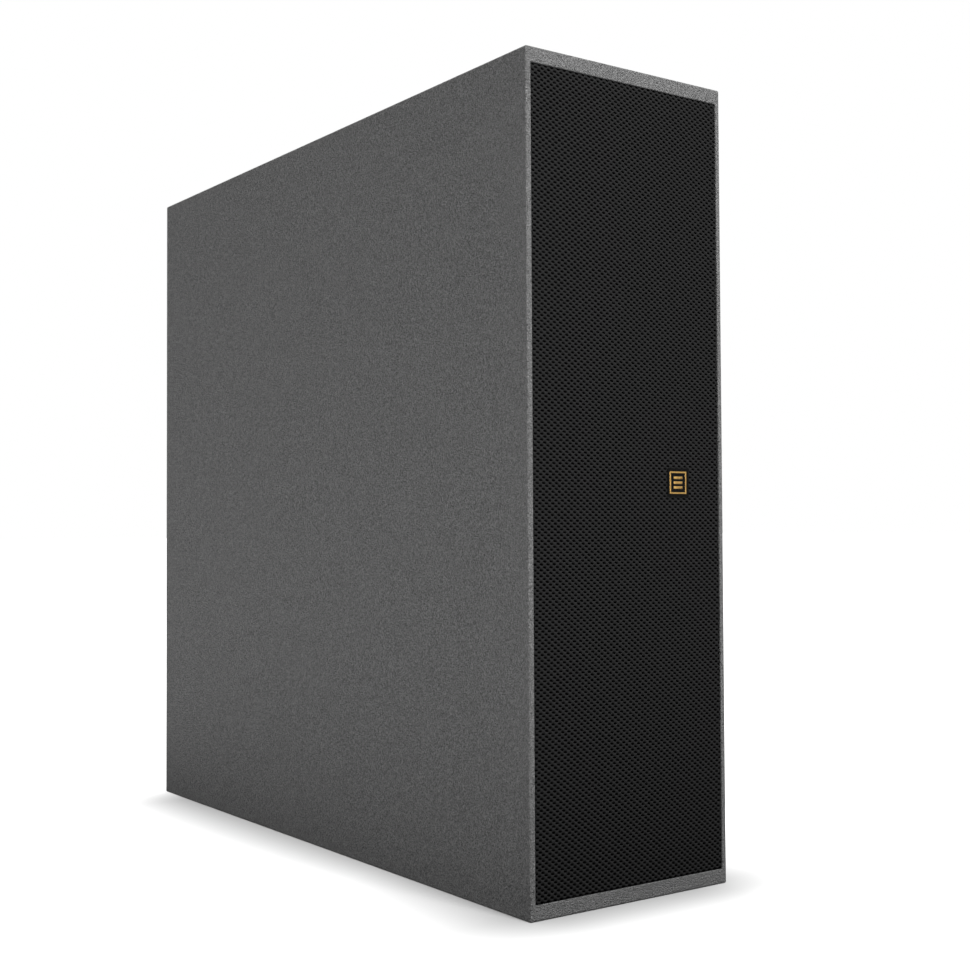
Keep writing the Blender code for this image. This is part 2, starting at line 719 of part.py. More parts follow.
def compression_driver(throat_y):
    """Front plate, magnet, rear plate, phase plug, diaphragm and rear cover, front to back."""
    location = (0, throat_y, MIDDLE_Z)
    radius = DRIVER_RADIUS
    front_plate = [
        (THROAT_RADIUS, -GAP),
        (radius, -GAP),
        (radius, -0.0065),
        (0.0260, -0.0065),
        (0.0260, -0.0215),
        (0.0215, -0.0215),
    ]
    turned("hf_front_plate", front_plate, ALLOY, location)
    turned("hf_magnet", ring_profile(0.0285, radius, -0.0068, -0.0218), FERRITE, location)
    turned("hf_rear_plate", ring_profile(0.0263, radius, -0.0221, -0.0300), ALLOY, location)
    plug_back = dome(0.0203, -0.0222, -0.0296, 4)
    plug = [(0, -0.0050), (0.0080, -0.0100), (0.0160, -0.0180), (0.0203, -0.0215)]
    turned("hf_phase_plug", plug + plug_back[::-1], PLASTIC, location, steps=SMALL_STEPS)
    skin = 0.0004
    inner = dome(0.0220, -0.0234, -0.0310, 3)
    outer = dome(0.0224, -0.0234, -0.0310 - skin, 3)
    turned("hf_diaphragm", inner + outer[::-1], COPPER, location, steps=SMALL_STEPS)
    cover = [
        (0.0355, -0.0303),
        (0.0420, -0.0303),
        (0.0420, -0.0450),
        (0.0390, -DRIVER_DEPTH),
        (0.0, -DRIVER_DEPTH),
    ]
    cavity = [(0.0, -0.0450), (0.0355, -0.0450)]
    turned("hf_rear_cover", cavity + cover, PLASTIC, location)


horn()
compression_driver(waveguide(BAFFLE_Y + HORN_DEPTH))


# --- Rear panel ---------------------------------------------------------------------------------

PLATE_FACE_Y = BACK_Y - PLATE_RECESS + GAP + PLATE
BLOCK_HALF = (0.025, 0.010)
BLOCK_PROUD = 0.0021
BLOCK_DEPTH = 0.012  # behind the plate


def socket(name, x):
    """A round four-pole socket: a square flange, a barrel through the plate and a keyed core."""
    flange_half, flange = 0.0155, 0.0025
    floor, core_radius, core_recess = 0.003, 0.0035, 0.006
    low_y = PLATE_FACE_Y + GAP
    body = box(name, *plate_span(flange_half, flange_half, low_y, low_y + flange, SOCKET_Z, x), PLASTIC)
    bevel = body.modifiers.new("round", "BEVEL")
    bevel.width = 0.001
    bevel.segments = 1
    place = [(x, SOCKET_Z)]
    floor_y = low_y - SOCKET_DEPTH
    combine(body, rods(name + "_barrel", SOCKET_BARREL, place, floor_y, low_y + flange / 2), "UNION")
    combine(body, rods(name + "_bore", SOCKET_BORE, place, floor_y + floor, low_y + OUTSIDE))
    core_span = (floor_y + floor / 3, low_y - core_recess)
    core = rods(name + "_core", core_radius, place, *core_span, segments=12)
    return combine(body, core, "UNION")


def button_places():
    return [(i - 1.5) * TERMINAL_PITCH for i in range(4)]


def terminal_block():
    """A four-way spring terminal with a square well for each release button and a hole for each wire."""
    face_y = PLATE_FACE_Y + BLOCK_PROUD
    back_y = PLATE_FACE_Y - PLATE - BLOCK_DEPTH
    block = box(
        "terminal_block",
        *plate_span(*BLOCK_HALF, back_y, face_y, TERMINAL_Z),
        PLASTIC,
    )
    button_z = TERMINAL_Z + BUTTON_OFFSET_Z
    well = BUTTON_SIDE / 2 + GAP
    spans = [
        plate_span(well, well, face_y - BUTTON_WELL, face_y + OUTSIDE, button_z, x)
        for x in button_places()
    ]
    combine(block, boxes("button_wells", spans))
    wires = [(x, TERMINAL_Z + WIRE_OFFSET_Z) for x in button_places()]
    wire_depth = (face_y - OUTSIDE, face_y + OUTSIDE)
    combine(block, rods("wire_holes", WIRE_HOLE_RADIUS, wires, *wire_depth, segments=10))
    half, front_y = BUTTON_SIDE / 2, face_y + BUTTON_PROUD
    for number, x in enumerate(button_places(), start=1):
        span = plate_span(half, half, front_y - BUTTON_LENGTH, front_y, button_z, x)
        box(f"terminal_button_{number}", *span, ORANGE)


def connector_plate():
    plate = box(
        "connector_plate",
        *plate_span(PLATE_X / 2, PLATE_Z / 2, PLATE_FACE_Y - PLATE, PLATE_FACE_Y),
        BLACK_STEEL,
    )
    through = (PLATE_FACE_Y - PLATE - OUTSIDE, PLATE_FACE_Y + OUTSIDE)
    places = [(-SOCKET_X, SOCKET_Z), (SOCKET_X, SOCKET_Z)]
    combine(plate, rods("socket_holes", SOCKET_BARREL + GAP, places, *through, segments=24))
    half_x, half_z = BLOCK_HALF
    hole = plate_span(half_x + GAP, half_z + GAP, *through, TERMINAL_Z)
    return combine(plate, boxes("terminal_hole", [hole]))


def inserts():
    """Threaded inserts flush with the rear face, for a wall or ceiling bracket."""
    length = 0.0145
    for number, (x, z) in enumerate(insert_places(), start=1):
        profile = ring_profile(INSERT_BORE, INSERT_RADIUS, 0.0, -length)
        turned(
            f"rear_insert_{number}",
            profile,
            ZINC,
            (x, BACK_Y - GAP, z),
            FACING_BACK,
            steps=16,
        )


connector_plate()
socket("input_socket", -SOCKET_X)
socket("link_socket", SOCKET_X)
terminal_block()
inserts()


# --- Inside the cabinet -------------------------------------------------------------------------


def crossover():
    """A board on four feet on the bottom panel, with a coil and a row of capacitors."""
    half_x, half_y = BOARD_HALF
    board = box(
        "crossover_board",
        (-half_x, BOARD_Y - half_y, BOARD_LOW_Z),
        (half_x, BOARD_Y + half_y, BOARD_TOP_Z),
        BOARD,
    )
    overlap = (BOARD_TOP_Z - BOARD_LOW_Z) / 2
    foot_radius, foot_inset = 0.004, 0.008
    form = bmesh.new()
    for sx in (-1, 1):
        for sy in (-1, 1):
            at = (sx * (half_x - foot_inset), BOARD_Y + sy * (half_y - foot_inset))
            add_rod(form, foot_radius, INNER_LOW_Z + GAP, BOARD_LOW_Z + overlap, at, 10)
    combine(board, add_object("board_feet", mesh_of(form, "board_feet")), "UNION")
    can_radius, can_height, can_pitch, can_x = 0.011, 0.030, 0.030, -0.036
    first_can_y = BOARD_Y - 0.040
    form = bmesh.new()
    for i in range(3):
        at = (can_x, first_can_y + can_pitch * i)
        add_rod(form, can_radius, BOARD_TOP_Z - overlap, BOARD_TOP_Z + can_height, at, 14)
    capacitors = add_object("board_capacitors", mesh_of(form, "board_capacitors"))
    combine(board, capacitors, "UNION")
    coil_x, coil_height = 0.022, 0.022
    coil = ring_profile(0.014, 0.030, coil_height, 0.0)
    turned("crossover_coil", coil, COPPER, (coil_x, BOARD_Y, BOARD_TOP_Z + GAP), (0, 0, 0), steps=STEPS)


def lining(name, side):
    """Foam on a side panel, between the brace and the rear panel."""
    face_x = side * (INNER_X - GAP)
    inner, outer = sorted((face_x, face_x - side * LINING))
    low_y = BRACE_Y + PANEL + LINING_CLEARANCE
    high_y = BACK_Y - THICK_PANEL - LINING_CLEARANCE
    return box(name, (inner, low_y, LINING_LOW_Z), (outer, high_y, LINING_HIGH_Z), FOAM)


def lead_to_driver(name, centre_z, corners):
    """A lead that comes to the driver's terminal strip from outside its basket."""
    angle = math.radians(TERMINAL_ANGLE)
    end = []
    # Each step is a radius from the driver's axis and a distance behind its strip.
    for reach, back in ((0.0830, 0.030), (0.0800, 0.004), (TERMINAL_RADIUS + 2 * GAP, 0.0)):
        y = BAFFLE_Y + TERMINAL_DEPTH + back
        end.append((reach * math.cos(angle), y, centre_z + reach * math.sin(angle)))
    return cable(name, corners + end)


def cables():
    """Leads from the input socket to the board, and from the board to each driver."""
    lead_z = BOARD_TOP_Z - GAP
    board_edge_y = BOARD_Y - BOARD_HALF[1] - 0.0035
    socket_back_y = PLATE_FACE_Y - SOCKET_DEPTH - 2 * GAP
    driver_back_y = BAFFLE_Y + HORN_DEPTH + ADAPTER_LENGTH + DRIVER_DEPTH + 2 * GAP
    cable(
        "input_cable",
        [
            (-SOCKET_X, socket_back_y, SOCKET_Z),
            (-SOCKET_X, socket_back_y - 0.022, SOCKET_Z - 0.004),
            (-0.020, socket_back_y - 0.036, 0.270),
            (-0.016, 0.262, 0.160),
            (-0.018, 0.258, 0.060),
            (-0.020, 0.246, BOARD_TOP_Z + CABLE_RADIUS + GAP),
        ],
    )
    lead_to_driver(
        "lf_lower_cable",
        MIDDLE_Z - LF_OFFSET_Z,
        [
            (0.050, board_edge_y, lead_z),
            (0.050, 0.080, 0.0600),
            (0.045, 0.020, 0.1000),
            (0.056, -0.100, 0.1450),
        ],
    )
    lead_to_driver(
        "lf_upper_cable",
        MIDDLE_Z + LF_OFFSET_Z,
        [
            (0.038, board_edge_y, lead_z),
            (0.036, 0.080, 0.0800),
            (0.034, 0.020, 0.1800),
            (0.064, -0.060, 0.3300),
            (0.074, -0.170, 0.4500),
        ],
    )
    cable(
        "hf_cable",
        [
            (0.026, board_edge_y, lead_z),
            (0.024, 0.080, 0.0850),
            (0.018, 0.030, 0.1900),
            (0.010, -0.030, 0.2950),
            (0.004, -0.066, 0.3240),
            (0.000, driver_back_y, MIDDLE_Z),
        ],
    )


crossover()
lining("left_lining", -1)
lining("right_lining", 1)
cables()


# --- Grille and badge ---------------------------------------------------------------------------

GRILLE_FACE_Y = FRONT_Y + GRILLE_RECESS
GRILLE_BACK_Y = FRONT_Y + SEAT_DEPTH - GAP
GRILLE_HALF_X = WIDTH / 2 - SIDE_LIP - GAP
GRILLE_HALF_Z = (INNER_HIGH_Z - INNER_LOW_Z) / 2 - GAP


def tray(name, half_x, half_z, face_y, wall, side_wall, material):
    """A front face with a wall folded back all round, open at the rear."""
    body = box(name, *plate_span(half_x, half_z, face_y, GRILLE_BACK_Y), material)
    hollow = plate_span(half_x - side_wall, half_z - side_wall, face_y + wall, GRILLE_BACK_Y + OUTSIDE)
    combine(body, boxes(name + "_hollow", [hollow]))
    pin_hole = rods(
        name + "_pin_hole",
        BADGE_HOLE_RADIUS,
        [(BADGE_X, BADGE_Z)],
        face_y - OUTSIDE,
        face_y + OUTSIDE / 2,
        segments=16,
    )
    return combine(body, pin_hole)


def grille():
    skirt = 0.0012
    tray("grille_fabric", GRILLE_HALF_X, GRILLE_HALF_Z, GRILLE_FACE_Y, FABRIC, skirt, CLOTH)
    steel_y = GRILLE_FACE_Y + FABRIC + GAP
    half_x, half_z = GRILLE_HALF_X - skirt - GAP, GRILLE_HALF_Z - skirt - GAP
    steel = tray("grille_panel", half_x, half_z, steel_y, STEEL, STEEL, BLACK_STEEL)
    stud_end_y = BAFFLE_Y + STUD_DEPTH
    studs = rods("grille_studs", STUD_RADIUS, stud_places(), steel_y + STEEL / 2, stud_end_y, segments=12)
    return combine(steel, studs, "UNION")


def badge():
    """A square plate on a round pin, held behind the grille by a push-on washer."""
    back_y = GRILLE_FACE_Y - GAP
    half, edge, pin_past, washer_radius, washer = BADGE_SIDE / 2, 0.0003, 0.003, 0.0055, 0.001
    span = plate_span(half, half, back_y - BADGE_THICK, back_y, BADGE_Z, BADGE_X)
    plate = box("badge", *span, GOLD)
    bevel = plate.modifiers.new("round", "BEVEL")
    bevel.width = edge
    bevel.segments = 1
    place = [(BADGE_X, BADGE_Z)]
    steel_back_y = GRILLE_FACE_Y + FABRIC + GAP + STEEL
    pin_end_y = steel_back_y + pin_past
    pin = rods("badge_pin", BADGE_PIN_RADIUS, place, back_y - BADGE_THICK / 2, pin_end_y, segments=16)
    combine(plate, pin, "UNION")
    profile = ring_profile(BADGE_PIN_RADIUS + GAP, washer_radius, 0.0, -washer)
    location = (BADGE_X, steel_back_y + GAP, BADGE_Z)
    turned("badge_washer", profile, ZINC, location, FACING_FRONT, steps=16)


grille()
badge()
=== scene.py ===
"""Looks of the line array speaker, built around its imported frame.

Everything is in metres, in the frame's own coordinates: +Z up, the grille facing -Y, the origin at
the centre of the base.
"""

import math
import random

import bmesh
import bpy
import numpy as np
from mathutils import Matrix, Vector


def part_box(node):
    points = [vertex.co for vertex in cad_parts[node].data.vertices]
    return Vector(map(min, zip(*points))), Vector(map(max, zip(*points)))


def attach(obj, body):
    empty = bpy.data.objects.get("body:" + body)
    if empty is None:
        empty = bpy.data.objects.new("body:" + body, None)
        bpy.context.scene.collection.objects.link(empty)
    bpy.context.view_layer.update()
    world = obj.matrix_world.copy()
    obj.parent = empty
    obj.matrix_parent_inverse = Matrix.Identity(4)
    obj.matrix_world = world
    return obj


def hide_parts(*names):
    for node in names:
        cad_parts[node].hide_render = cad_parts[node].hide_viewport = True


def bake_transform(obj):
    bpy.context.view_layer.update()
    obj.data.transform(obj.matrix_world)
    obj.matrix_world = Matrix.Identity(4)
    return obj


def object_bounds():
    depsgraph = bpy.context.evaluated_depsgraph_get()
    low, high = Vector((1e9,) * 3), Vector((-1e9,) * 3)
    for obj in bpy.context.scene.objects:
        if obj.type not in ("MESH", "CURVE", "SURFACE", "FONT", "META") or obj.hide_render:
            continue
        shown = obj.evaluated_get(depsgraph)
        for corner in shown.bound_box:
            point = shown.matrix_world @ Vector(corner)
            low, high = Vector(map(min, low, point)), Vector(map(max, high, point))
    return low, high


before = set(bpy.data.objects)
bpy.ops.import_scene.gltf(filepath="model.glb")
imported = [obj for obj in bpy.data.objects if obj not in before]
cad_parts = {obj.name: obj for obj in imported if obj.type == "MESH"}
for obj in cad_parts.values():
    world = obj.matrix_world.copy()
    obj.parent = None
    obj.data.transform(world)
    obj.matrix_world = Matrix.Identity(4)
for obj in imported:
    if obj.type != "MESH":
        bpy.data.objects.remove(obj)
CAD_LOW, CAD_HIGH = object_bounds()

MM = 0.001
SEED = 11

# --- Places read from the frame ------------------------------------------------------------------

HALF_X = CAD_HIGH.x
FRONT_Y = CAD_LOW.y
BACK_Y = CAD_HIGH.y
TOP_Z = CAD_HIGH.z
MIDDLE_Z = TOP_Z / 2
INNER_X = -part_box("left_side_panel")[1].x
INNER_LOW_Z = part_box("bottom_panel")[1].z
INNER_HIGH_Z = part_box("top_panel")[0].z
BAFFLE_Y, BAFFLE_BACK_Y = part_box("front_baffle")[0].y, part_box("front_baffle")[1].y
BACK_PANEL_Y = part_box("back_panel")[0].y
GRILLE_LOW, GRILLE_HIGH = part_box("grille_fabric")
STEEL_LOW, STEEL_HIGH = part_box("grille_panel")
PLATE_LOW, PLATE_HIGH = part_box("connector_plate")

EDGE_RADIUS = 1.5 * MM
SIDE_LIP = 4.5 * MM
SEAT_DEPTH = 14.5 * MM
OUTSIDE = 10 * MM  # how far a cutting tool stands past a surface
GAP = 0.3 * MM  # left between touching pieces
NOTHING = 1e-9  # a length that counts as none

INSERTS = [f"rear_insert_{number}" for number in (1, 2, 3, 4)]

# Local +Z of a turned piece points out of the front, or out of the back.
FACING_FRONT = Matrix.Rotation(math.pi / 2, 4, "X")
FACING_BACK = Matrix.Rotation(-math.pi / 2, 4, "X")
FACING_UP = Matrix.Identity(4)


def centre_of(node):
    low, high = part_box(node)
    return (low + high) / 2


def middle_and_half(low, high):
    """The middle of a box, and half its size."""
    return [(a + b) / 2 for a, b in zip(low, high)], [(b - a) / 2 for a, b in zip(low, high)]


# --- Light ---------------------------------------------------------------------------------------

SURROUND_LIGHT = 0.89  # the surround's brightness, as the object is lit by it
FLOOR_BOUNCE = 0.02  # the floor's albedo for light on its way to the object
FLOOR_RETURN = 2.1  # how brightly the floor lights the object
RETURN_REACH, RETURN_END = 0.52, (0.5, 1.3)  # how far off that is full, and where it falls to nothing
FLOOR_SHADE = (0.178, 0.355)  # the floor's albedo as the camera sees it, before the front and beside it: lower in front, a painted shadow there
SHADE_START, SHADE_END = FRONT_Y - 0.02, FRONT_Y + 0.20  # from the first of these to the second
SHADOW_LOW, SHADOW_HIGH = (-HALF_X + 0.035, FRONT_Y + 0.025), (0.050, 0.265)  # no glow on the floor here: the core of the painted shadow round the foot
SHADOW_REACH = 0.18  # from there to where it glows fully, and the painted shadow ends
SHADOW_SQUEEZE = (1.0, 1.5, 1.0)  # the shadow is shorter in front
RETURN_STRETCH = (1.0, 0.6, 1.0)  # and the floor lights the front less
SOFTBOX_AIM = 0.05  # of its place across: how far off the middle each one looks
SOFTBOXES = (  # name, place, size, power
    ("front_key", (-0.08, -1.30, 2.10), (0.45, 0.40), 84),
    ("front_fill", (0.00, -0.95, 0.40), (0.40, 0.12), 1.9),
    ("left_box", (-4.20, -0.40, 0.90), (2.2, 1.2), 50),
    ("right_box", (3.40, 0.30, 1.30), (1.8, 1.4), 20),
    ("rear_box", (0.90, 3.30, 1.50), (1.8, 1.4), 20),
)


# --- Materials -----------------------------------------------------------------------------------


def grey(tone):
    return (tone, tone, tone)


class Finish:
    """One procedural material, built on a Principled shader by short calls."""

    def __init__(self, name, colour, roughness, metallic=0.0, specular=0.5):
        self.material = bpy.data.materials.new(name)
        self.material.use_nodes = True
        self.tree = self.material.node_tree
        self.shader = self.tree.nodes["Principled BSDF"]
        self.set("Base Color", (*colour, 1.0))
        self.set("Roughness", roughness)
        self.set("Metallic", metallic)
        self.set("Specular IOR Level", specular)
        self.place = self.add("ShaderNodeTexCoord").outputs["Object"]
        self.relief = None

    def feed(self, socket, value):
        """Links another node's output to a socket, or sets the socket to a constant."""
        if isinstance(value, bpy.types.NodeSocket):
            self.tree.links.new(value, socket)
        else:
            socket.default_value = value

    def set(self, name, value):
        self.feed(self.shader.inputs[name], value)

    def add(self, kind, inputs=None, **settings):
        node = self.tree.nodes.new(kind)
        for name, value in settings.items():
            setattr(node, name, value)
        for name, value in (inputs or {}).items():
            self.feed(node.inputs[name], value)
        return node

    def stretched(self, scale, rotation=(0, 0, 0)):
        """Object coordinates, scaled and turned."""
        inputs = {"Vector": self.place, "Scale": scale, "Rotation": rotation}
        return self.add("ShaderNodeMapping", inputs).outputs["Vector"]

    def noise(self, scale, detail=2.0, rough=0.5, place=None):
        inputs = {"Vector": place or self.place, "Scale": scale, "Detail": detail, "Roughness": rough}
        return self.add("ShaderNodeTexNoise", inputs).outputs["Fac"]

    def cells(self, scale):
        inputs = {"Vector": self.place, "Scale": scale}
        return self.add("ShaderNodeTexVoronoi", inputs, feature="F1").outputs["Distance"]

    def bands(self, scale, direction, distortion=0.0, place=None):
        inputs = {"Vector": place or self.place, "Scale": scale, "Distortion": distortion}
        wave = self.add("ShaderNodeTexWave", inputs, bands_direction=direction)
        return wave.outputs["Fac"]

    def ramp(self, value, low, high, to_low=0.0, to_high=1.0, kind="LINEAR"):
        """A value from low..high mapped to to_low..to_high."""
        inputs = {"Value": value, "From Min": low, "From Max": high, "To Min": to_low, "To Max": to_high}
        return self.add("ShaderNodeMapRange", inputs, interpolation_type=kind).outputs["Result"]

    def maths(self, operation, first, second):
        return self.add("ShaderNodeMath", {0: first, 1: second}, operation=operation).outputs[0]

    def vector(self, operation, *values):
        node = self.add("ShaderNodeVectorMath", dict(enumerate(values)), operation=operation)
        return node.outputs["Value" if operation == "LENGTH" else "Vector"]

    def mix(self, share, first, second):
        """A colour between two colours, each a triple or a socket."""
        colours = [(*c, 1.0) if isinstance(c, tuple) else c for c in (first, second)]
        node = self.add("ShaderNodeMix", {0: share, 6: colours[0], 7: colours[1]}, data_type="RGBA")
        return node.outputs[2]

    def tint(self, share, first, second):
        self.set("Base Color", self.mix(share, first, second))

    def bump(self, height, depth):
        """Relief of a given depth in metres. Each call adds to the ones before."""
        inputs = {"Height": height, "Distance": depth, "Strength": 1.0}
        if self.relief is not None:
            inputs["Normal"] = self.relief
        self.relief = self.add("ShaderNodeBump", inputs).outputs["Normal"]
        self.set("Normal", self.relief)


def grained(name, colour, roughness, grain, relief, tones=None, gloss=None, stretch=None, **shine):
    """A finish whose tone, gloss and relief follow one noise of a given scale, detail and roughness."""
    finish = Finish(name, colour, roughness, **shine)
    noise = finish.noise(*grain, place=finish.stretched(stretch) if stretch else None)
    if tones:
        finish.tint(finish.ramp(noise, 0.3, 0.7), *tones)
    if gloss:
        finish.set("Roughness", finish.ramp(noise, 0.3, 0.7, *gloss))
    finish.bump(noise, relief)
    return finish.material


def wound(name, turns_per_metre, direction, tones, relief):
    """Enamelled copper wire, its turns side by side along an axis, darker between them as painted shade in
    the grooves.
    """
    finish = Finish(name, (0.62, 0.26, 0.12), 0.3, metallic=1.0)
    turns = finish.bands(turns_per_metre, direction)
    # Darker copper in the grooves between turns: painted shade.
    finish.tint(turns, *tones)
    finish.bump(turns, relief)
    return finish.material


def textured_paint():
    """Structured dark grey paint: sprayed droplets over a faint orange peel."""
    finish = Finish("textured_paint", grey(0.1), 0.6, specular=0.1)
    speck = finish.noise(1000, 1.0)
    finish.tint(finish.ramp(speck, 0.38, 0.62), grey(0.091), grey(0.153))
    finish.set("Roughness", finish.ramp(speck, 0.3, 0.7, 0.66, 0.46))
    finish.bump(finish.noise(300, 2.0), 0.2 * MM)
    finish.bump(finish.noise(800, 2.0, 0.6), 2.2 * MM)
    finish.bump(finish.noise(1300, 1.0), 2.2 * MM)
    return finish.material


def plywood():
    """The face of birch plywood, its grain running upwards."""
    finish = Finish("birch_plywood", (0.5, 0.36, 0.22), 0.7, specular=0.3)
    along = finish.stretched((1.0, 1.0, 0.06))
    grain = finish.noise(420, 4.0, 0.65, along)
    figure = finish.bands(30, "X", 6.0, along)
    shade = finish.maths("MULTIPLY", grain, finish.ramp(figure, 0, 1, 0.85, 1.15))
    finish.tint(finish.ramp(shade, 0.3, 0.7), (0.56, 0.40, 0.25), (0.40, 0.26, 0.14))
    finish.bump(grain, 0.05 * MM)
    return finish.material


def knitted_yarn():
    """Black polyester yarn: fine filaments that run with the strands."""
    finish = Finish("knitted_yarn", grey(0.007), 0.8, specular=0.05)
    filaments = finish.noise(2600, 2.0, 0.6, finish.stretched((1.0, 1.0, 2.6), (0, 0.5, 0)))
    finish.tint(finish.ramp(filaments, 0.3, 0.7), grey(0.0050), (0.0128, 0.0128, 0.0130))
    finish.bump(filaments, 0.10 * MM)
    return finish.material


def foam(name, colour, scale, specular=0.1):
    finish = Finish(name, colour, 0.95, specular=specular)
    pores_and_pit_shade = finish.cells(scale)
    # Each pore darkens towards its middle: painted shade in the pits, which the bump sinks too.
    finish.tint(finish.ramp(pores_and_pit_shade, 0.1, 0.6), tuple(0.35 * c for c in colour), colour)
    finish.bump(pores_and_pit_shade, 0.5 * MM)
    return finish.material


def plated_steel():
    finish = Finish("zinc_plated_steel", (0.58, 0.58, 0.56), 0.3, metallic=1.0)
    brush = finish.noise(700, 3.0, 0.6, finish.stretched((1.0, 1.0, 0.2)))
    cloud = finish.noise(60, 2.0)
    finish.tint(finish.ramp(cloud, 0.3, 0.7), (0.50, 0.50, 0.49), (0.66, 0.65, 0.61))
    finish.set("Roughness", finish.ramp(brush, 0.3, 0.7, 0.22, 0.42))
    return finish.material


def spider_cloth():
    finish = Finish("spider_cloth", (0.42, 0.22, 0.07), 0.85, specular=0.2)
    weave_and_gap_shade = finish.maths("MULTIPLY", finish.bands(900, "X"), finish.bands(900, "Z"))
    # Darker where the threads sink: painted shade in the weave's gaps.
    finish.tint(weave_and_gap_shade, (0.30, 0.15, 0.045), (0.50, 0.28, 0.10))
    finish.bump(weave_and_gap_shade, 0.12 * MM)
    return finish.material


def circuit_board():
    finish = Finish("circuit_board", (0.02, 0.14, 0.05), 0.4, specular=0.5)
    tracks = finish.ramp(finish.cells(120), 0.30, 0.34)
    finish.tint(tracks, (0.015, 0.10, 0.035), (0.03, 0.19, 0.07))
    finish.bump(tracks, 0.03 * MM)
    return finish.material


PAINT = textured_paint()
PLYWOOD = plywood()
BLACK_WOOD = grained(
    "black_stained_wood",
    grey(0.012),
    0.62,
    (500, 4.0, 0.65),
    tones=(grey(0.009), (0.022, 0.021, 0.020)),
    relief=0.06 * MM,
    stretch=(1.0, 1.0, 0.08),
    specular=0.35,
)
YARN = knitted_yarn()
# Near-black: the net's dark inner layer, and painted shade deep in the cloth's eyes.
NET_AND_EYE_SHADE = foam("inner_net_and_eye_shade", grey(0.001), 2400, specular=0.0)
GREY_FOAM = foam("grey_foam", (0.13, 0.13, 0.14), 420)
POWDER_COAT = grained(
    "black_powder_coat", grey(0.018), 0.42, (900, 2.0), gloss=(0.34, 0.52), relief=0.05 * MM
)
ZINC = plated_steel()
GOLD = grained(
    "satin_gold",
    (0.64, 0.39, 0.12),
    0.28,
    (3000, 2.0, 0.6),
    tones=((0.54, 0.31, 0.085), (0.74, 0.47, 0.16)),
    gloss=(0.22, 0.36),
    relief=0.01 * MM,
    stretch=(1.0, 1.0, 0.05),
    metallic=1.0,
)
ENAMEL = grained("black_enamel", grey(0.002), 0.2, (240, 2.0), relief=0.01 * MM, specular=0.06)
PAPER = grained(
    "cone_paper",
    grey(0.02),
    0.8,
    (900, 4.0, 0.7),
    tones=(grey(0.014), (0.032, 0.031, 0.030)),
    relief=0.12 * MM,
    specular=0.25,
)
RUBBER = grained(
    "matt_rubber",
    grey(0.012),
    0.55,
    (400, 3.0, 0.6),
    gloss=(0.46, 0.66),
    relief=0.03 * MM,
    specular=0.35,
)
CASTING = grained(
    "coated_casting",
    (0.03, 0.03, 0.031),
    0.45,
    (1100, 3.0, 0.6),
    gloss=(0.38, 0.6),
    relief=0.08 * MM,
    metallic=0.3,
)
FERRITE = grained(
    "ground_ferrite",
    (0.045, 0.045, 0.05),
    0.5,
    (1500, 3.0, 0.7),
    tones=((0.03, 0.03, 0.033), (0.07, 0.07, 0.075)),
    relief=0.03 * MM,
)
SPIDER = spider_cloth()
WINDING = wound("copper_winding", 900, "Y", ((0.42, 0.15, 0.06), (0.72, 0.33, 0.17)), 0.15 * MM)
COIL = wound("coil_winding", 330, "Z", ((0.40, 0.14, 0.05), (0.74, 0.35, 0.18)), 0.4 * MM)
PLASTIC = grained(
    "moulded_plastic",
    (0.014, 0.014, 0.015),
    0.4,
    (1400, 2.0, 0.6),
    gloss=(0.32, 0.5),
    relief=0.03 * MM,
    specular=0.45,
)
ORANGE = grained(
    "orange_plastic",
    (0.75, 0.19, 0.02),
    0.35,
    (1200, 2.0),
    tones=((0.70, 0.16, 0.015), (0.80, 0.23, 0.03)),
    relief=0.02 * MM,
)
CIRCUIT = circuit_board()


# --- Mesh helpers --------------------------------------------------------------------------------


def place_piece(name, mesh, material, body, slot, *replaced):
    """A new piece that rides on a body and stands for the CAD nodes it replaces."""
    obj = bpy.data.objects.new(name, mesh)
    bpy.context.scene.collection.objects.link(obj)
    if not mesh.materials:
        mesh.materials.append(material)
    if body is not None:
        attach(obj, body)
    if replaced:
        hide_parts(*replaced)
    return obj


def fixed_piece(name, mesh, material, slot, *replaced):
    return place_piece(name, mesh, material, "cabinet", slot, *replaced)


def mesh_from(form, name, sharp=35):
    """A mesh from a bmesh, smooth but for edges sharper than an angle in degrees."""
    bmesh.ops.recalc_face_normals(form, faces=form.faces)
    mesh = bpy.data.meshes.new(name)
    form.to_mesh(mesh)
    form.free()
    mesh.shade_smooth()
    mesh.set_sharp_from_angle(angle=math.radians(sharp))
    return mesh


def tool_object(name, mesh):
    """A cutter: it is hidden, and not part of the object."""
    obj = bpy.data.objects.new(name, mesh)
    bpy.context.scene.collection.objects.link(obj)
    obj.hide_render = True
    obj.display_type = "WIRE"
    return obj


def carve(mesh, name, cuts=(), unions=(), bevel=0.0, segments=2, angle=50):
    """A mesh with others joined to it and cut from it, its edges rounded, and its modifiers applied."""
    target = tool_object(name + "_blank", mesh)
    tools = []
    for operation, group in (("UNION", unions), ("DIFFERENCE", cuts)):
        for number, tool_mesh in enumerate(group):
            tool = tool_object(f"{name}_{operation.lower()}_{number}", tool_mesh)
            modifier = target.modifiers.new(tool.name, "BOOLEAN")
            modifier.operation = operation
            modifier.object = tool
            tools.append(tool)
    if bevel:
        rounding = target.modifiers.new("round", "BEVEL")
        rounding.width = bevel
        rounding.segments = segments
        rounding.limit_method = "ANGLE"
        rounding.angle_limit = math.radians(angle)
    target.modifiers.new("even_normals", "WEIGHTED_NORMAL").keep_sharp = True
    bpy.context.view_layer.update()
    depsgraph = bpy.context.evaluated_depsgraph_get()
    carved = bpy.data.meshes.new_from_object(target.evaluated_get(depsgraph))
    carved.name = name
    for obj in [target, *tools]:
        bpy.data.objects.remove(obj)
    return carved


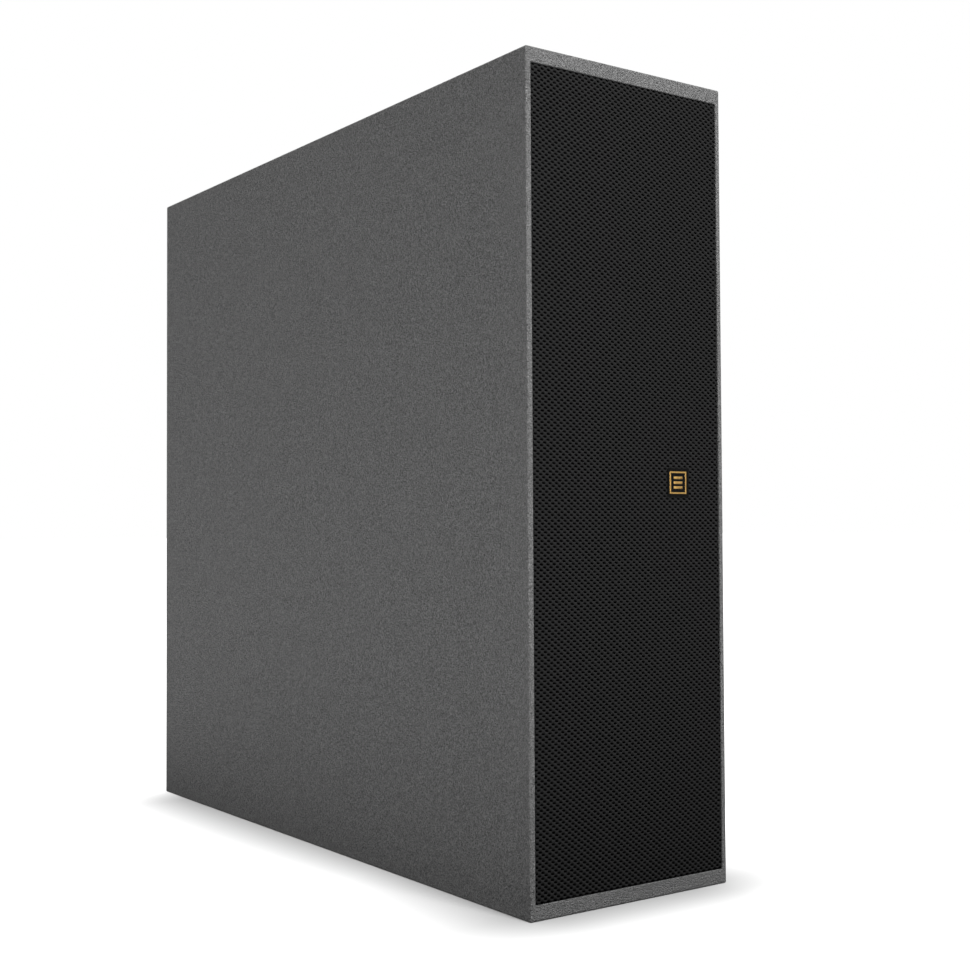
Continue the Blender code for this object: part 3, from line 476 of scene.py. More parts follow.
def block_form(low, high, radius, segments, only=None):
    """A bmesh of a box with its edges rounded, or only those that run along one axis."""
    low, high = Vector(low), Vector(high)
    form = bmesh.new()
    matrix = Matrix.Translation((low + high) / 2) @ Matrix.Diagonal((*(high - low), 1))
    bmesh.ops.create_cube(form, size=1, matrix=matrix)
    if radius:
        edges = form.edges[:]
        if only is not None:
            axis = Vector((only == "X", only == "Y", only == "Z"))
            directions = [(e.verts[0].co - e.verts[1].co).normalized() for e in edges]
            edges = [e for e, along in zip(edges, directions) if abs(along @ axis) > 0.9]
        bmesh.ops.bevel(form, geom=edges, offset=radius, segments=segments, profile=0.5, affect="EDGES")
    return form


def block(low, high, radius=0.0, segments=2, only=None):
    return mesh_from(block_form(low, high, radius, segments, only), "block")


def turned_block(turn, low, high, radius=0.0, segments=2, only=None):
    """A box mesh made round the origin, then moved by a matrix."""
    form = block_form(low, high, radius, segments, only)
    bmesh.ops.transform(form, verts=form.verts, matrix=turn)
    return mesh_from(form, "turned_block")


def turned_about_z(degrees):
    return Matrix.Rotation(math.radians(degrees), 4, "Z")


def panel_span(half_x, half_z, low_y, high_y, centre_z, centre_x=0.0):
    """The low and high corners of a box, from its half sizes across and its extent along Y."""
    low = (centre_x - half_x, low_y, centre_z - half_z)
    return low, (centre_x + half_x, high_y, centre_z + half_z)


def add_cylinder(form, radius, depth, segments, matrix):
    size = {"radius1": radius, "radius2": radius, "depth": depth}
    bmesh.ops.create_cone(form, cap_ends=True, segments=segments, matrix=matrix, **size)


def rods(radius, places, low_y, high_y, segments=48):
    """Cylinders along Y at places (x, z), as one mesh."""
    form = bmesh.new()
    for x, z in places:
        matrix = Matrix.Translation((x, (low_y + high_y) / 2, z)) @ FACING_BACK
        add_cylinder(form, radius, high_y - low_y, segments, matrix)
    return mesh_from(form, "rods")


def shares(steps):
    """Even steps from 0 to 1."""
    return [step / steps for step in range(steps + 1)]


def filleted(profile, radius, closed):
    """A profile of (radius, height) points with its corners rounded, where there is room."""
    count, fillet_steps, blunt = len(profile), 3, math.radians(150)
    points = []
    for i, here in enumerate(profile):
        is_end = not closed and i in (0, count - 1)
        corner = Vector(here)
        back, on = Vector(profile[i - 1]) - corner, Vector(profile[(i + 1) % count]) - corner
        room = min(back.length, on.length) * 0.45
        turn = back.angle(on) if min(back.length, on.length) > NOTHING else math.pi
        if is_end or turn > blunt:
            points.append(tuple(corner))
            continue
        reach = min(radius / math.tan(turn / 2), room)
        start, end = corner + back.normalized() * reach, corner + on.normalized() * reach
        for share in shares(fillet_steps):
            outer = start.lerp(corner, share).lerp(corner.lerp(end, share), share)
            points.append(tuple(outer))
    return points


def arc(centre, radius, start, end, segments):
    """Points on a circle from one angle to another, in degrees."""
    angles = [math.radians(start + (end - start) * share) for share in shares(segments)]
    return [(centre[0] + radius * math.cos(a), centre[1] + radius * math.sin(a)) for a in angles]


def dome(radius, rim_z, apex_z, segments):
    """Points of a spherical cap from its apex on the axis to its rim."""
    rise = apex_z - rim_z
    sphere = (radius**2 + rise**2) / (2 * abs(rise))
    centre_z = apex_z - math.copysign(sphere, rise)
    half_angle = math.asin(radius / sphere)
    angles = [half_angle * share for share in shares(segments)]
    heights = [centre_z + math.copysign(sphere * math.cos(a), rise) for a in angles]
    return [(sphere * math.sin(a), height) for a, height in zip(angles, heights)]


def is_ring(profile):
    """Whether a profile stays clear of the axis, so that its end joins its start."""
    return profile[0][0] > NOTHING


def revolved_form(profile, matrix, steps):
    """A bmesh of a profile of (radius, height) points turned about local Z."""
    form = bmesh.new()
    rings = []
    for radius, height in profile:
        if radius < NOTHING:
            rings.append([form.verts.new(matrix @ Vector((0, 0, height)))])
            continue
        ring = []
        for i in range(steps):
            angle = 2 * math.pi * i / steps
            point = Vector((radius * math.cos(angle), radius * math.sin(angle), height))
            ring.append(form.verts.new(matrix @ point))
        rings.append(ring)
    pairs = list(zip(rings, rings[1:]))
    if is_ring(profile):
        pairs.append((rings[-1], rings[0]))
    for upper, lower in pairs:
        for i in range(steps):
            j = (i + 1) % steps
            corners = [upper[i % len(upper)], upper[j % len(upper)]]
            corners += [lower[j % len(lower)], lower[i % len(lower)]]
            form.faces.new(list(dict.fromkeys(corners)))
    return form


def revolved(profile, location, facing=FACING_FRONT, steps=96, fillet=0.0, sharp=35):
    if fillet:
        profile = filleted(profile, fillet, is_ring(profile))
    form = revolved_form(profile, Matrix.Translation(location) @ facing, steps)
    return mesh_from(form, "revolved", sharp)


def in_mm(*points):
    """Points of a profile given in millimetres."""
    return [(radius * MM, height * MM) for radius, height in points]


def ring_profile(inner, outer, top, bottom):
    return [(inner, top), (outer, top), (outer, bottom), (inner, bottom)]


def rounded_rectangle(half_x, half_z, radius, per_corner):
    """Points (x, z) round a rectangle, anticlockwise as the front is seen."""
    points = []
    for quarter, (sx, sz) in enumerate(((1, 1), (-1, 1), (-1, -1), (1, -1))):
        centre = (sx * (half_x - radius), sz * (half_z - radius))
        points += arc(centre, radius, 90 * quarter, 90 * quarter + 90, per_corner)
    return points


def at_y(section, y):
    return [(x, y, z) for x, _, z in section]


def loft_form(sections):
    """A bmesh through sections of equally many points, closed at both ends."""
    form = bmesh.new()
    rings = [[form.verts.new(point) for point in section] for section in sections]
    for ring, following in zip(rings, rings[1:]):
        for i in range(len(ring)):
            j = (i + 1) % len(ring)
            form.faces.new((ring[i], ring[j], following[j], following[i]))
    form.faces.new(rings[0][::-1])
    form.faces.new(rings[-1])
    return form


def rectangle_section(y, half_x, half_z, radius, centre_z, per_corner=6):
    outline = rounded_rectangle(half_x, half_z, radius, per_corner)
    return [(x, y, centre_z + z) for x, z in outline]


def channel(sections, start_y, end_y, sharp=35):
    """A cutter through sections, run on past both ends."""
    sections = [at_y(sections[0], start_y), *sections, at_y(sections[-1], end_y)]
    return mesh_from(loft_form(sections), "channel", sharp)


def merged(meshes, name):
    """Several meshes as one, each keeping its own shading."""
    form = bmesh.new()
    for mesh in meshes:
        form.from_mesh(mesh)
    mesh = bpy.data.meshes.new(name)
    form.to_mesh(mesh)
    form.free()
    mesh.set_sharp_from_angle(angle=math.radians(35))
    return mesh


# --- Cabinet -------------------------------------------------------------------------------------


def hollow():
    """What is cut from the painted box, from the grille's seat through to the rear, as one mesh.

    Its faces' material index is what they leave on the box: 0 is paint, and 1 bare plywood.
    """
    step_y = FRONT_Y + SEAT_DEPTH
    outline = [(HALF_X - SIDE_LIP, FRONT_Y - OUTSIDE), (HALF_X - SIDE_LIP, step_y), (INNER_X, step_y)]
    outline += [(INNER_X, y) for y in (BAFFLE_BACK_Y, BACK_PANEL_Y, BACK_Y + OUTSIDE)]
    form = bmesh.new()
    corners = {}
    for row, (x, y) in enumerate(outline):
        for side in (-1, 1):
            for level, z in enumerate((INNER_LOW_Z, INNER_HIGH_Z)):
                corners[row, side, level] = form.verts.new((side * x, y, z))
    loops = []
    for row in range(len(outline) - 1):
        for side in (-1, 1):
            loops.append([(row, side, 0), (row + 1, side, 0), (row + 1, side, 1), (row, side, 1)])
    for level in (0, 1):
        seat = ((0, -1), (0, 1), (1, 1), (2, 1), (2, -1), (1, -1))
        loops.append([(row, side, level) for row, side in seat])
        for row in range(2, len(outline) - 1):
            loops.append([(row, -1, level), (row, 1, level), (row + 1, 1, level), (row + 1, -1, level)])
    for row in (0, len(outline) - 1):
        loops.append([(row, -1, 0), (row, 1, 0), (row, 1, 1), (row, -1, 1)])
    for loop in loops:
        face = form.faces.new([corners[key] for key in loop])
        is_bare = BAFFLE_BACK_Y < face.calc_center_median().y < BACK_PANEL_Y
        face.material_index = int(is_bare)
    return mesh_from(form, "hollow")


def cabinet_shell():
    """The four outer panels as one painted box, whose glued joints don't show."""
    outer = block((-HALF_X, FRONT_Y, 0), (HALF_X, BACK_Y, TOP_Z), EDGE_RADIUS, 4)
    outer.materials.append(PAINT)
    outer.materials.append(PLYWOOD)
    mesh = carve(outer, "cabinet_shell", [hollow()], bevel=0.45 * MM, segments=3, angle=60)
    panels = ("left_side_panel", "right_side_panel", "top_panel", "bottom_panel")
    fixed_piece("cabinet_shell", mesh, PAINT, "cabinet_paint", *panels)


def rear_panel():
    """The inset rear panel, with the connector recess and the inserts' holes."""
    low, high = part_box("back_panel")
    (_, _, mid_z), (half_x, _, half_z) = middle_and_half(PLATE_LOW, PLATE_HIGH)
    ledge = 10 * MM
    recess = panel_span(half_x + GAP, half_z + GAP, PLATE_LOW.y - GAP, BACK_Y + OUTSIDE, mid_z)
    window = panel_span(half_x - ledge, half_z - ledge, low.y - OUTSIDE, BACK_Y, mid_z)
    _, (insert_radius, _, _) = middle_and_half(*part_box(INSERTS[0]))
    holes = [(centre_of(node).x, centre_of(node).z) for node in INSERTS]
    cuts = [
        block(*recess, radius=2 * MM, segments=5, only="Y"),
        block(*window),
        rods(insert_radius + GAP, holes, low.y - OUTSIDE, BACK_Y + OUTSIDE),
    ]
    mesh = carve(block(low, high), "rear_panel", cuts, bevel=0.5 * MM, segments=3)
    fixed_piece("rear_panel", mesh, PAINT, "cabinet_paint", "back_panel")


def port_duct(node):
    """A rectangular tube whose mouth is rounded outwards."""
    low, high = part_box(node)
    _, (half_x, _, half_z) = middle_and_half(low, high)
    wall, flare, flare_length, corner = 6 * MM, 4.8 * MM, 9 * MM, 4 * MM
    mouth_y, mid_z = low.y - 0.2 * MM, centre_of(node).z
    sections = []
    for share in shares(9):
        grow = flare * (1 - math.sqrt(1 - (1 - share) ** 2))
        y, less = mouth_y + flare_length * share, wall - grow
        sections.append(rectangle_section(y, half_x - less, half_z - less, corner + grow, mid_z))
    bore = channel(sections, low.y - OUTSIDE, high.y + OUTSIDE)
    mesh = carve(block(low, high, 1.5 * MM, 3, only="Y"), node + "_tube", [bore])
    fixed_piece(node + "_tube", mesh, BLACK_WOOD, "black_wood", node)


# --- Screws --------------------------------------------------------------------------------------


def screw_mesh(radius, height):
    """A domed head with a hexagonal socket, its seat at the origin and its top along local +Z."""
    socket_radius, socket_depth = radius * 0.45, height * 0.6
    profile = [(0, height), (radius * 0.55, height * 0.96), (radius * 0.9, height * 0.6), (radius, 0), (0, 0)]
    head = revolved(profile, (0, 0, 0), FACING_UP, 24, fillet=0.3 * MM)
    form = bmesh.new()
    add_cylinder(form, socket_radius, 2 * socket_depth, 6, Matrix.Translation((0, 0, height)))
    return carve(head, "screw", [mesh_from(form, "socket")])


def screws(name, places, facing, radius, height):
    """A group of screw heads at places (x, y, z), as one piece."""
    head = screw_mesh(radius, height)
    form = bmesh.new()
    rng = random.Random(SEED)
    for place in places:
        copy = head.copy()
        spin = Matrix.Rotation(rng.uniform(0, math.pi), 4, "Z")
        copy.transform(Matrix.Translation(place) @ facing @ spin)
        form.from_mesh(copy)
    fixed_piece(name, mesh_from(form, name), POWDER_COAT, "black_steel")


# --- Low-frequency drivers -----------------------------------------------------------------------

LF_FLANGE_RADIUS, LF_FLANGE = 82 * MM, 5 * MM
LF_SEAT_RADIUS, LF_SEAT_Z = 76 * MM, 3 * MM
LF_BOWL_RADIUS, LF_BOWL_DEPTH = 71.5 * MM, 52 * MM
LF_ROLL_RADIUS, LF_ROLL_CENTRE = 7.5 * MM, 62.5 * MM
LF_CONE_EDGE, LF_CONE_FLAT = 55.5 * MM, 51 * MM  # its outer rim, and where its slope begins
LF_NECK_RADIUS, LF_NECK_Z = 19.7 * MM, -21.5 * MM
LF_COIL_RADIUS, LF_FORMER_RADIUS = 20 * MM, 19.3 * MM
LF_POLE_RADIUS = 18.1 * MM
LF_PLATE, LF_PLATE_RADIUS = 8 * MM, 56 * MM
LF_MAGNET, LF_MAGNET_RADIUS = 18 * MM, 60 * MM


def cone_share(radius):
    return (radius - LF_NECK_RADIUS) / (LF_CONE_FLAT - LF_NECK_RADIUS)


def cone_height(radius):
    return LF_NECK_Z + (LF_SEAT_Z - LF_NECK_Z) * min(max(cone_share(radius), 0.0), 1.0) ** 0.85


def basket(prefix, location):
    wall, foot, hole, landing, landing_rim = 3 * MM, 52 * MM, 27 * MM, 43 * MM, 49.5 * MM
    landing_z, skirt_z, waist_z, floor_z = -41.5 * MM, -10 * MM, -46 * MM, -LF_BOWL_DEPTH + 3 * MM
    profile = [
        (LF_SEAT_RADIUS, LF_FLANGE),
        (LF_FLANGE_RADIUS, LF_FLANGE),
        (LF_FLANGE_RADIUS, GAP),
        (LF_BOWL_RADIUS, GAP),
        (LF_BOWL_RADIUS, skirt_z),
        (foot, waist_z),
        (foot, -LF_BOWL_DEPTH),
        (hole, -LF_BOWL_DEPTH),
        (hole, floor_z),
        (landing, floor_z),
        (landing, landing_z),
        (landing_rim, landing_z),
        (LF_BOWL_RADIUS - wall, skirt_z),
        (LF_BOWL_RADIUS - wall, LF_SEAT_Z),
        (LF_SEAT_RADIUS, LF_SEAT_Z),
    ]
    bowl = revolved(profile, location, fillet=0.8 * MM)
    turn = Matrix.Translation(location) @ FACING_FRONT
    window = (44 * MM, -20 * MM, -37.5 * MM), (90 * MM, 20 * MM, -14 * MM), 4 * MM, 3, "X"
    windows = [turned_block(turn @ turned_about_z(60 * i), *window) for i in range(6)]
    strip = (52 * MM, -9 * MM, -33 * MM), (70 * MM, 9 * MM, -27 * MM), 0.6 * MM
    terminal_strip = turned_block(turn @ turned_about_z(30), *strip)
    mesh = carve(bowl, prefix + "_frame", windows, [terminal_strip])
    fixed_piece(prefix + "_frame", mesh, CASTING, "cast_alloy", prefix + "_basket")
    bolts = arc((location[0], location[2]), 79 * MM, 22.5, 22.5 + 315, 7)
    places = [(x, location[1] - LF_FLANGE, z) for x, z in bolts]
    screws(prefix + "_screws", places, FACING_FRONT, 2.5 * MM, 1.3 * MM)


def blend_outwards(piece):
    """Bakes a round piece's placing into its points; it is not bent.
    """
    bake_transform(piece)


def surround(prefix, location):
    skin, lap = 0.6 * MM, 4 * MM
    low, high = LF_SEAT_Z + GAP, LF_SEAT_Z + GAP + skin
    inner_lip, outer_lip = LF_CONE_EDGE - lap, LF_SEAT_RADIUS - GAP
    profile = [(inner_lip, high)]
    profile += arc((LF_ROLL_CENTRE, high), LF_ROLL_RADIUS, 180, 0, 16)
    profile += [(outer_lip, high), (outer_lip, low)]
    profile += arc((LF_ROLL_CENTRE, low), LF_ROLL_RADIUS - skin, 0, 180, 16)
    profile += [(inner_lip, low)]
    mesh = revolved(profile, location, steps=120)
    piece = place_piece(prefix + "_roll", mesh, RUBBER, None, "rubber", prefix + "_surround")
    blend_outwards(piece)


def cone(prefix, location, moving):
    """Pressed paper with five faint ribs."""
    paper, ribs, rib = 0.8 * MM, 5, 0.18 * MM
    radii = [LF_CONE_FLAT + (LF_NECK_RADIUS - LF_CONE_FLAT) * share for share in shares(60)]

    def height(radius):
        wave = max(0.0, math.sin(2 * math.pi * ribs * cone_share(radius))) ** 4
        return cone_height(radius) + rib * wave

    under = [(r, height(r) - paper) for r in radii]
    upper = [(r, height(r)) for r in reversed(radii)]
    profile = [(LF_CONE_EDGE, LF_SEAT_Z), (LF_CONE_EDGE, LF_SEAT_Z - paper)] + under + upper
    mesh = revolved(profile, location, steps=120)
    place_piece(prefix + "_diaphragm", mesh, PAPER, moving, "cone_paper", prefix + "_cone")
    radius, rise, skin = 26 * MM, 8 * MM, 0.7 * MM
    rim_z = cone_height(radius) + 0.6 * MM
    cap = dome(radius, rim_z, rim_z + rise, 14) + dome(radius - skin, rim_z, rim_z + rise - skin, 14)[::-1]
    mesh = revolved(cap, location)
    place_piece(prefix + "_cap", mesh, PAPER, moving, "cone_paper", prefix + "_dust_cap")


def coil_and_spider(prefix, location, moving):
    former, winding = 0.6 * MM, 14 * MM
    gap_z = -LF_BOWL_DEPTH - GAP - LF_PLATE / 2
    top_z, bottom_z = LF_NECK_Z + 2.5 * MM, gap_z - winding / 2 - 0.8 * MM
    profile = [
        (LF_FORMER_RADIUS - former, top_z),
        (LF_FORMER_RADIUS, top_z),
        (LF_FORMER_RADIUS, gap_z + winding / 2),
        (LF_COIL_RADIUS, gap_z + winding / 2),
        (LF_COIL_RADIUS, gap_z - winding / 2),
        (LF_FORMER_RADIUS, gap_z - winding / 2),
        (LF_FORMER_RADIUS, bottom_z),
        (LF_FORMER_RADIUS - former, bottom_z),
    ]
    mesh = revolved(profile, location)
    place_piece(prefix + "_coil", mesh, WINDING, moving, "copper", prefix + "_voice_coil")
    inner, outer, rim, waves = 21.2 * MM, 43 * MM, 48.8 * MM, 5
    swing, skin, rest_z = 1.1 * MM, 0.5 * MM, -40.9 * MM
    line = [(LF_COIL_RADIUS, rest_z)]
    for share in shares(60):
        z = rest_z + swing * math.sin(2 * math.pi * waves * share)
        line.append((inner + (outer - inner) * share, z))
    line.append((rim, rest_z))
    upper = [(r, z + skin / 2) for r, z in line]
    under = [(r, z - skin / 2) for r, z in reversed(line)]
    mesh = revolved(upper + under, location)
    piece = place_piece(prefix + "_centring", mesh, SPIDER, None, "spider_cloth", prefix + "_spider")
    blend_outwards(piece)


def motor(prefix, location):
    top = -LF_BOWL_DEPTH - GAP
    magnet_top = top - LF_PLATE - GAP
    yoke_top = magnet_top - LF_MAGNET - GAP
    yoke_bottom = yoke_top - LF_PLATE
    air_gap, magnet_bore, vent = 0.7 * MM, 30 * MM, 6 * MM
    plate = ring_profile(LF_COIL_RADIUS + air_gap, LF_PLATE_RADIUS, top, top - LF_PLATE)
    magnet = ring_profile(magnet_bore, LF_MAGNET_RADIUS, magnet_top, magnet_top - LF_MAGNET)
    yoke = [
        (vent, top),
        (LF_POLE_RADIUS, top),
        (LF_POLE_RADIUS, yoke_top),
        (LF_PLATE_RADIUS, yoke_top),
        (LF_PLATE_RADIUS, yoke_bottom),
        (vent, yoke_bottom),
    ]
    shapes = (
        ("front_plate", plate, ZINC, "zinc_steel", "_top_plate"),
        ("magnet_ring", magnet, FERRITE, "ferrite", "_magnet"),
        ("pole_and_back_plate", yoke, ZINC, "zinc_steel", "_yoke"),
    )
    for label, profile, material, slot, node in shapes:
        mesh = revolved(profile, location, fillet=0.9 * MM)
        fixed_piece(f"{prefix}_{label}", mesh, material, slot, prefix + node)


def low_frequency_driver(prefix):
    location = (0, BAFFLE_Y, centre_of(prefix + "_cone").z)
    moving = prefix + "_moving"
    basket(prefix, location)
    surround(prefix, location)
    cone(prefix, location, moving)
    coil_and_spider(prefix, location, moving)
    motor(prefix, location)


# --- High-frequency section ----------------------------------------------------------------------

HORN_HALF_X, HORN_HALF_Z = 78 * MM, 48 * MM
HORN_WALL, HORN_DEPTH, HORN_FLANGE = 3 * MM, 55 * MM, 4 * MM
SLOT_HALF_Z = 11 * MM
ADAPTER_LENGTH = 110 * MM
THROAT_RADIUS = 18 * MM


def horn():
    """A flared mouth with straight sides, in a flange held by six screws."""
    low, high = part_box("hf_horn")
    wide_x, outer_corner, inner_corner, per_corner = HORN_HALF_X + HORN_WALL, 2 * MM, 1.5 * MM, 3
    outer, inner = [], []
    for share in shares(24):
        y = BAFFLE_Y + HORN_DEPTH * share
        half_z = HORN_HALF_Z * (SLOT_HALF_Z / HORN_HALF_Z) ** share
        wide_z = half_z + HORN_WALL
        outer.append(rectangle_section(y, wide_x, wide_z, outer_corner, MIDDLE_Z, per_corner))
        inner.append(rectangle_section(y, HORN_HALF_X, half_z, inner_corner, MIDDLE_Z, per_corner))
    outer[0] = at_y(outer[0], BAFFLE_Y - HORN_FLANGE / 2)
    flange = block(low, (high.x, BAFFLE_Y - GAP, high.z), 5 * MM, 6, "Y")
    body = mesh_from(loft_form(outer), "horn_body", 60)
    bore = channel(inner, low.y - OUTSIDE, BAFFLE_Y + HORN_DEPTH + OUTSIDE, 60)
    mesh = carve(body, "hf_mouth", [bore], [flange], bevel=0.8 * MM, segments=3, angle=60)
    fixed_piece("hf_mouth", mesh, PLASTIC, "black_plastic", "hf_horn")
    screw_x, screw_z = 81.6 * MM, 46 * MM
    places = [(sx * screw_x, low.y, MIDDLE_Z + sz * screw_z) for sx in (-1, 1) for sz in (-1, 0, 1)]
    screws("hf_mouth_screws", places, FACING_FRONT, 2.3 * MM, 1.2 * MM)


def waveguide():
    """The adapter from the horn's slot to a round throat, and where the throat ends."""
    front_y = BAFFLE_Y + HORN_DEPTH
    back_y = front_y + ADAPTER_LENGTH
    wall_x, wall_z, rounder = 6 * MM, 5 * MM, 3 * MM
    flange_radius, flange_depth = 40 * MM, 6 * MM
    outer, inner = [], []
    for share in shares(20):
        y = front_y + GAP + (ADAPTER_LENGTH - GAP) * share
        ease = share * share * (3 - 2 * share)
        half_x = HORN_HALF_X + (THROAT_RADIUS - HORN_HALF_X) * ease
        half_z = SLOT_HALF_Z + (THROAT_RADIUS - SLOT_HALF_Z) * share
        corner = THROAT_RADIUS * share * 0.98 + MM * (1 - share)
        outer.append(rectangle_section(y, half_x + wall_x, half_z + wall_z, corner + rounder, MIDDLE_Z))
        inner.append(rectangle_section(y, half_x, half_z, corner, MIDDLE_Z))
    flange = rods(flange_radius, [(0, MIDDLE_Z)], back_y - flange_depth, back_y, 96)
    body = mesh_from(loft_form(outer), "waveguide_body", 50)
    bore = channel(inner, front_y - OUTSIDE, back_y + OUTSIDE, 50)
    mesh = carve(body, "hf_throat", [bore], [flange])
    fixed_piece("hf_throat", mesh, PLASTIC, "black_plastic", "hf_waveguide")
    return back_y


def compression_driver(throat_y):
    location = (0, throat_y, MIDDLE_Z)
    radius, skin = 45 * MM, 0.4 * MM
    dome_rim_z, dome_apex_z = -23.4 * MM, -31 * MM
    front_plate = [(THROAT_RADIUS, -GAP), (radius, -GAP), (radius, -6.5 * MM)]
    front_plate += in_mm((26, -6.5), (26, -21.5), (21.5, -21.5))
    plug = in_mm((0, -5), (8, -10), (16, -18), (20.3, -21.5))
    plug += dome(20.3 * MM, -22.2 * MM, -29.6 * MM, 12)[::-1]
    diaphragm = dome(22 * MM, dome_rim_z, dome_apex_z, 16)
    diaphragm += dome(22 * MM + skin, dome_rim_z, dome_apex_z - skin, 16)[::-1]
    cover = in_mm((0, -45), (35.5, -45), (35.5, -30.3), (42, -30.3), (42, -45), (39, -48), (0, -48))
    magnet = ring_profile(28.5 * MM, radius, -6.8 * MM, -21.8 * MM)
    rear_plate = ring_profile(26.3 * MM, radius, -22.1 * MM, -30 * MM)
    shapes = (
        ("hf_pole_plate", front_plate, ZINC, "cabinet", "zinc_steel", "hf_front_plate", 0.7 * MM),
        ("hf_magnet_ring", magnet, FERRITE, "cabinet", "ferrite", "hf_magnet", 0.9 * MM),
        ("hf_back_plate", rear_plate, ZINC, "cabinet", "zinc_steel", "hf_rear_plate", 0.7 * MM),
        ("hf_plug", plug, PLASTIC, "cabinet", "black_plastic", "hf_phase_plug", 0.0),
        ("hf_dome", diaphragm, WINDING, "hf_moving", "copper", "hf_diaphragm", 0.0),
        ("hf_cover", cover, PLASTIC, "cabinet", "black_plastic", "hf_rear_cover", 1.2 * MM),
    )
    for name, profile, material, body, slot, node, fillet in shapes:
        mesh = revolved(profile, location, fillet=fillet)
        place_piece(name, mesh, material, body, slot, node)


# --- Rear connectors -----------------------------------------------------------------------------


def connector_plate():
    """A folded steel plate with rounded corners and eight screws."""
    middle = centre_of("connector_plate")
    _, (half_x, _, half_z) = middle_and_half(PLATE_LOW, PLATE_HIGH)
    through = (PLATE_LOW.y - OUTSIDE, PLATE_HIGH.y + OUTSIDE)
    block_low, block_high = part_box("terminal_block")
    barrel = 13.5 * MM + GAP
    sockets = [(centre_of(name).x, centre_of(name).z) for name in ("input_socket", "link_socket")]
    window_low = (block_low.x - GAP, through[0], block_low.z - GAP)
    window = (window_low, (block_high.x + GAP, through[1], block_high.z + GAP))
    plate = block(PLATE_LOW, PLATE_HIGH, 1.7 * MM, 5, "Y")
    mesh = carve(plate, "rear_plate", [rods(barrel, sockets, *through), block(*window)], bevel=0.4 * MM)
    fixed_piece("rear_plate", mesh, POWDER_COAT, "black_steel", "connector_plate")
    inset = 5 * MM
    places = []
    for sx in (-1, 0, 1):
        for sz in (-1, 0, 1):
            if sx or sz:
                x, z = middle.x + sx * (half_x - inset), middle.z + sz * (half_z - inset)
                places.append((x, PLATE_HIGH.y, z))
    screws("rear_plate_screws", places, FACING_BACK, 2.6 * MM, 1.4 * MM)


def socket(node):
    """A locking four-pole socket: a keyed bore round a core with four contacts."""
    low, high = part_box(node)
    (x, _, z), _ = middle_and_half(low, high)
    flange_y, floor_y, depth = high.y - 2.5 * MM, low.y + 3 * MM, high.y - low.y
    bore, core_radius, core_top, reach = 11.5 * MM, 3.5 * MM, depth - 5.6 * MM, 12.6 * MM
    flange = block((low.x, flange_y, low.z), high, 4 * MM, 6, "Y")
    barrel = rods(13.5 * MM, [(x, z)], low.y, flange_y + MM, 64)
    ring = rods(13.2 * MM, [(x, z)], flange_y, high.y, 64)
    bore_tool = rods(bore, [(x, z)], floor_y, high.y + OUTSIDE, 64)
    turn = Matrix.Translation((x, floor_y, z)) @ FACING_BACK
    key = (bore - 1.5 * MM, -1.4 * MM, 0), (bore + 1.2 * MM, 1.4 * MM, depth), 0.4 * MM, 2, "Z"
    keys = [turned_block(turn @ turned_about_z(angle), *key) for angle in (20, 140, 200, 320)]
    body = carve(flange, node + "_body", [bore_tool, *keys], [barrel, ring], bevel=0.5 * MM, angle=60)
    core_profile = [(0, core_top), (core_radius, core_top), (core_radius, MM), (0, MM)]
    core = revolved(core_profile, (x, low.y, z), FACING_BACK, 48, 0.5 * MM)
    turn = Matrix.Translation((x, low.y, z)) @ FACING_BACK
    slot = (2.4 * MM, -0.7 * MM, 4 * MM), (4 * MM, 0.7 * MM, depth - 7 * MM)
    slots = [turned_block(turn @ turned_about_z(45 + 90 * i), *slot) for i in range(4)]
    core = carve(core, "core", slots)
    fixed_piece(node + "_shell", merged([body, core], node), PLASTIC, "black_plastic", node)
    places = [(x + s * reach, high.y, z + s * reach) for s in (-1, 1)]
    screws(node + "_screws", places, FACING_BACK, 1.9 * MM, 0.9 * MM)


def terminals():
    """The spring terminal, with a raised plus and minus beside each pair of wire holes."""
    low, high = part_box("terminal_block")
    buttons = [f"terminal_button_{i}" for i in (1, 2, 3, 4)]
    well_y, hole_y, hole_drop, mark_drop = high.y - 8 * MM, high.y - 10 * MM, 6 * MM, 3.4 * MM
    long, short = 1.1 * MM, 0.3 * MM
    sunk_y, bar_y, post_y = high.y - 0.2 * MM, high.y + 0.25 * MM, high.y + 0.24 * MM
    wells, holes, marks = [], [], []
    for number, node in enumerate(buttons):
        b_low, b_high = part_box(node)
        well_low = (b_low.x - GAP, well_y, b_low.z - GAP)
        wells.append(block(well_low, (b_high.x + GAP, high.y + OUTSIDE, b_high.z + GAP)))
        x, z = (b_low.x + b_high.x) / 2, b_low.z - hole_drop
        holes.append((x, z))
        marks.append(block(*panel_span(long, short, sunk_y, bar_y, z - mark_drop, x)))
        if number % 2 == 0:
            marks.append(block(*panel_span(short, long, sunk_y, post_y, z - mark_drop, x)))
    tools = wells + [rods(1.6 * MM, holes, hole_y, high.y + OUTSIDE, 24)]
    body = block(low, high, 0.8 * MM, 3, "Y")
    mesh = carve(body, "wire_terminal", tools, marks, bevel=0.25 * MM)
    fixed_piece("wire_terminal", mesh, PLASTIC, "black_plastic", "terminal_block")
    for number, node in enumerate(buttons, start=1):
        b_low, b_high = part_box(node)
        cap = block(b_low, b_high, 0.7 * MM, 4)
        centre = (b_low + b_high) / 2
        half_x, half_z = b_high.x - centre.x - 1.4 * MM, 0.5 * MM
        groove = panel_span(half_x, half_z, b_high.y - 0.5 * MM, b_high.y + MM, centre.z, centre.x)
        mesh = carve(cap, "release_button", [block(*groove)])
        place_piece(f"release_button_{number}", mesh, ORANGE, f"button_{number}", "orange_plastic", node)


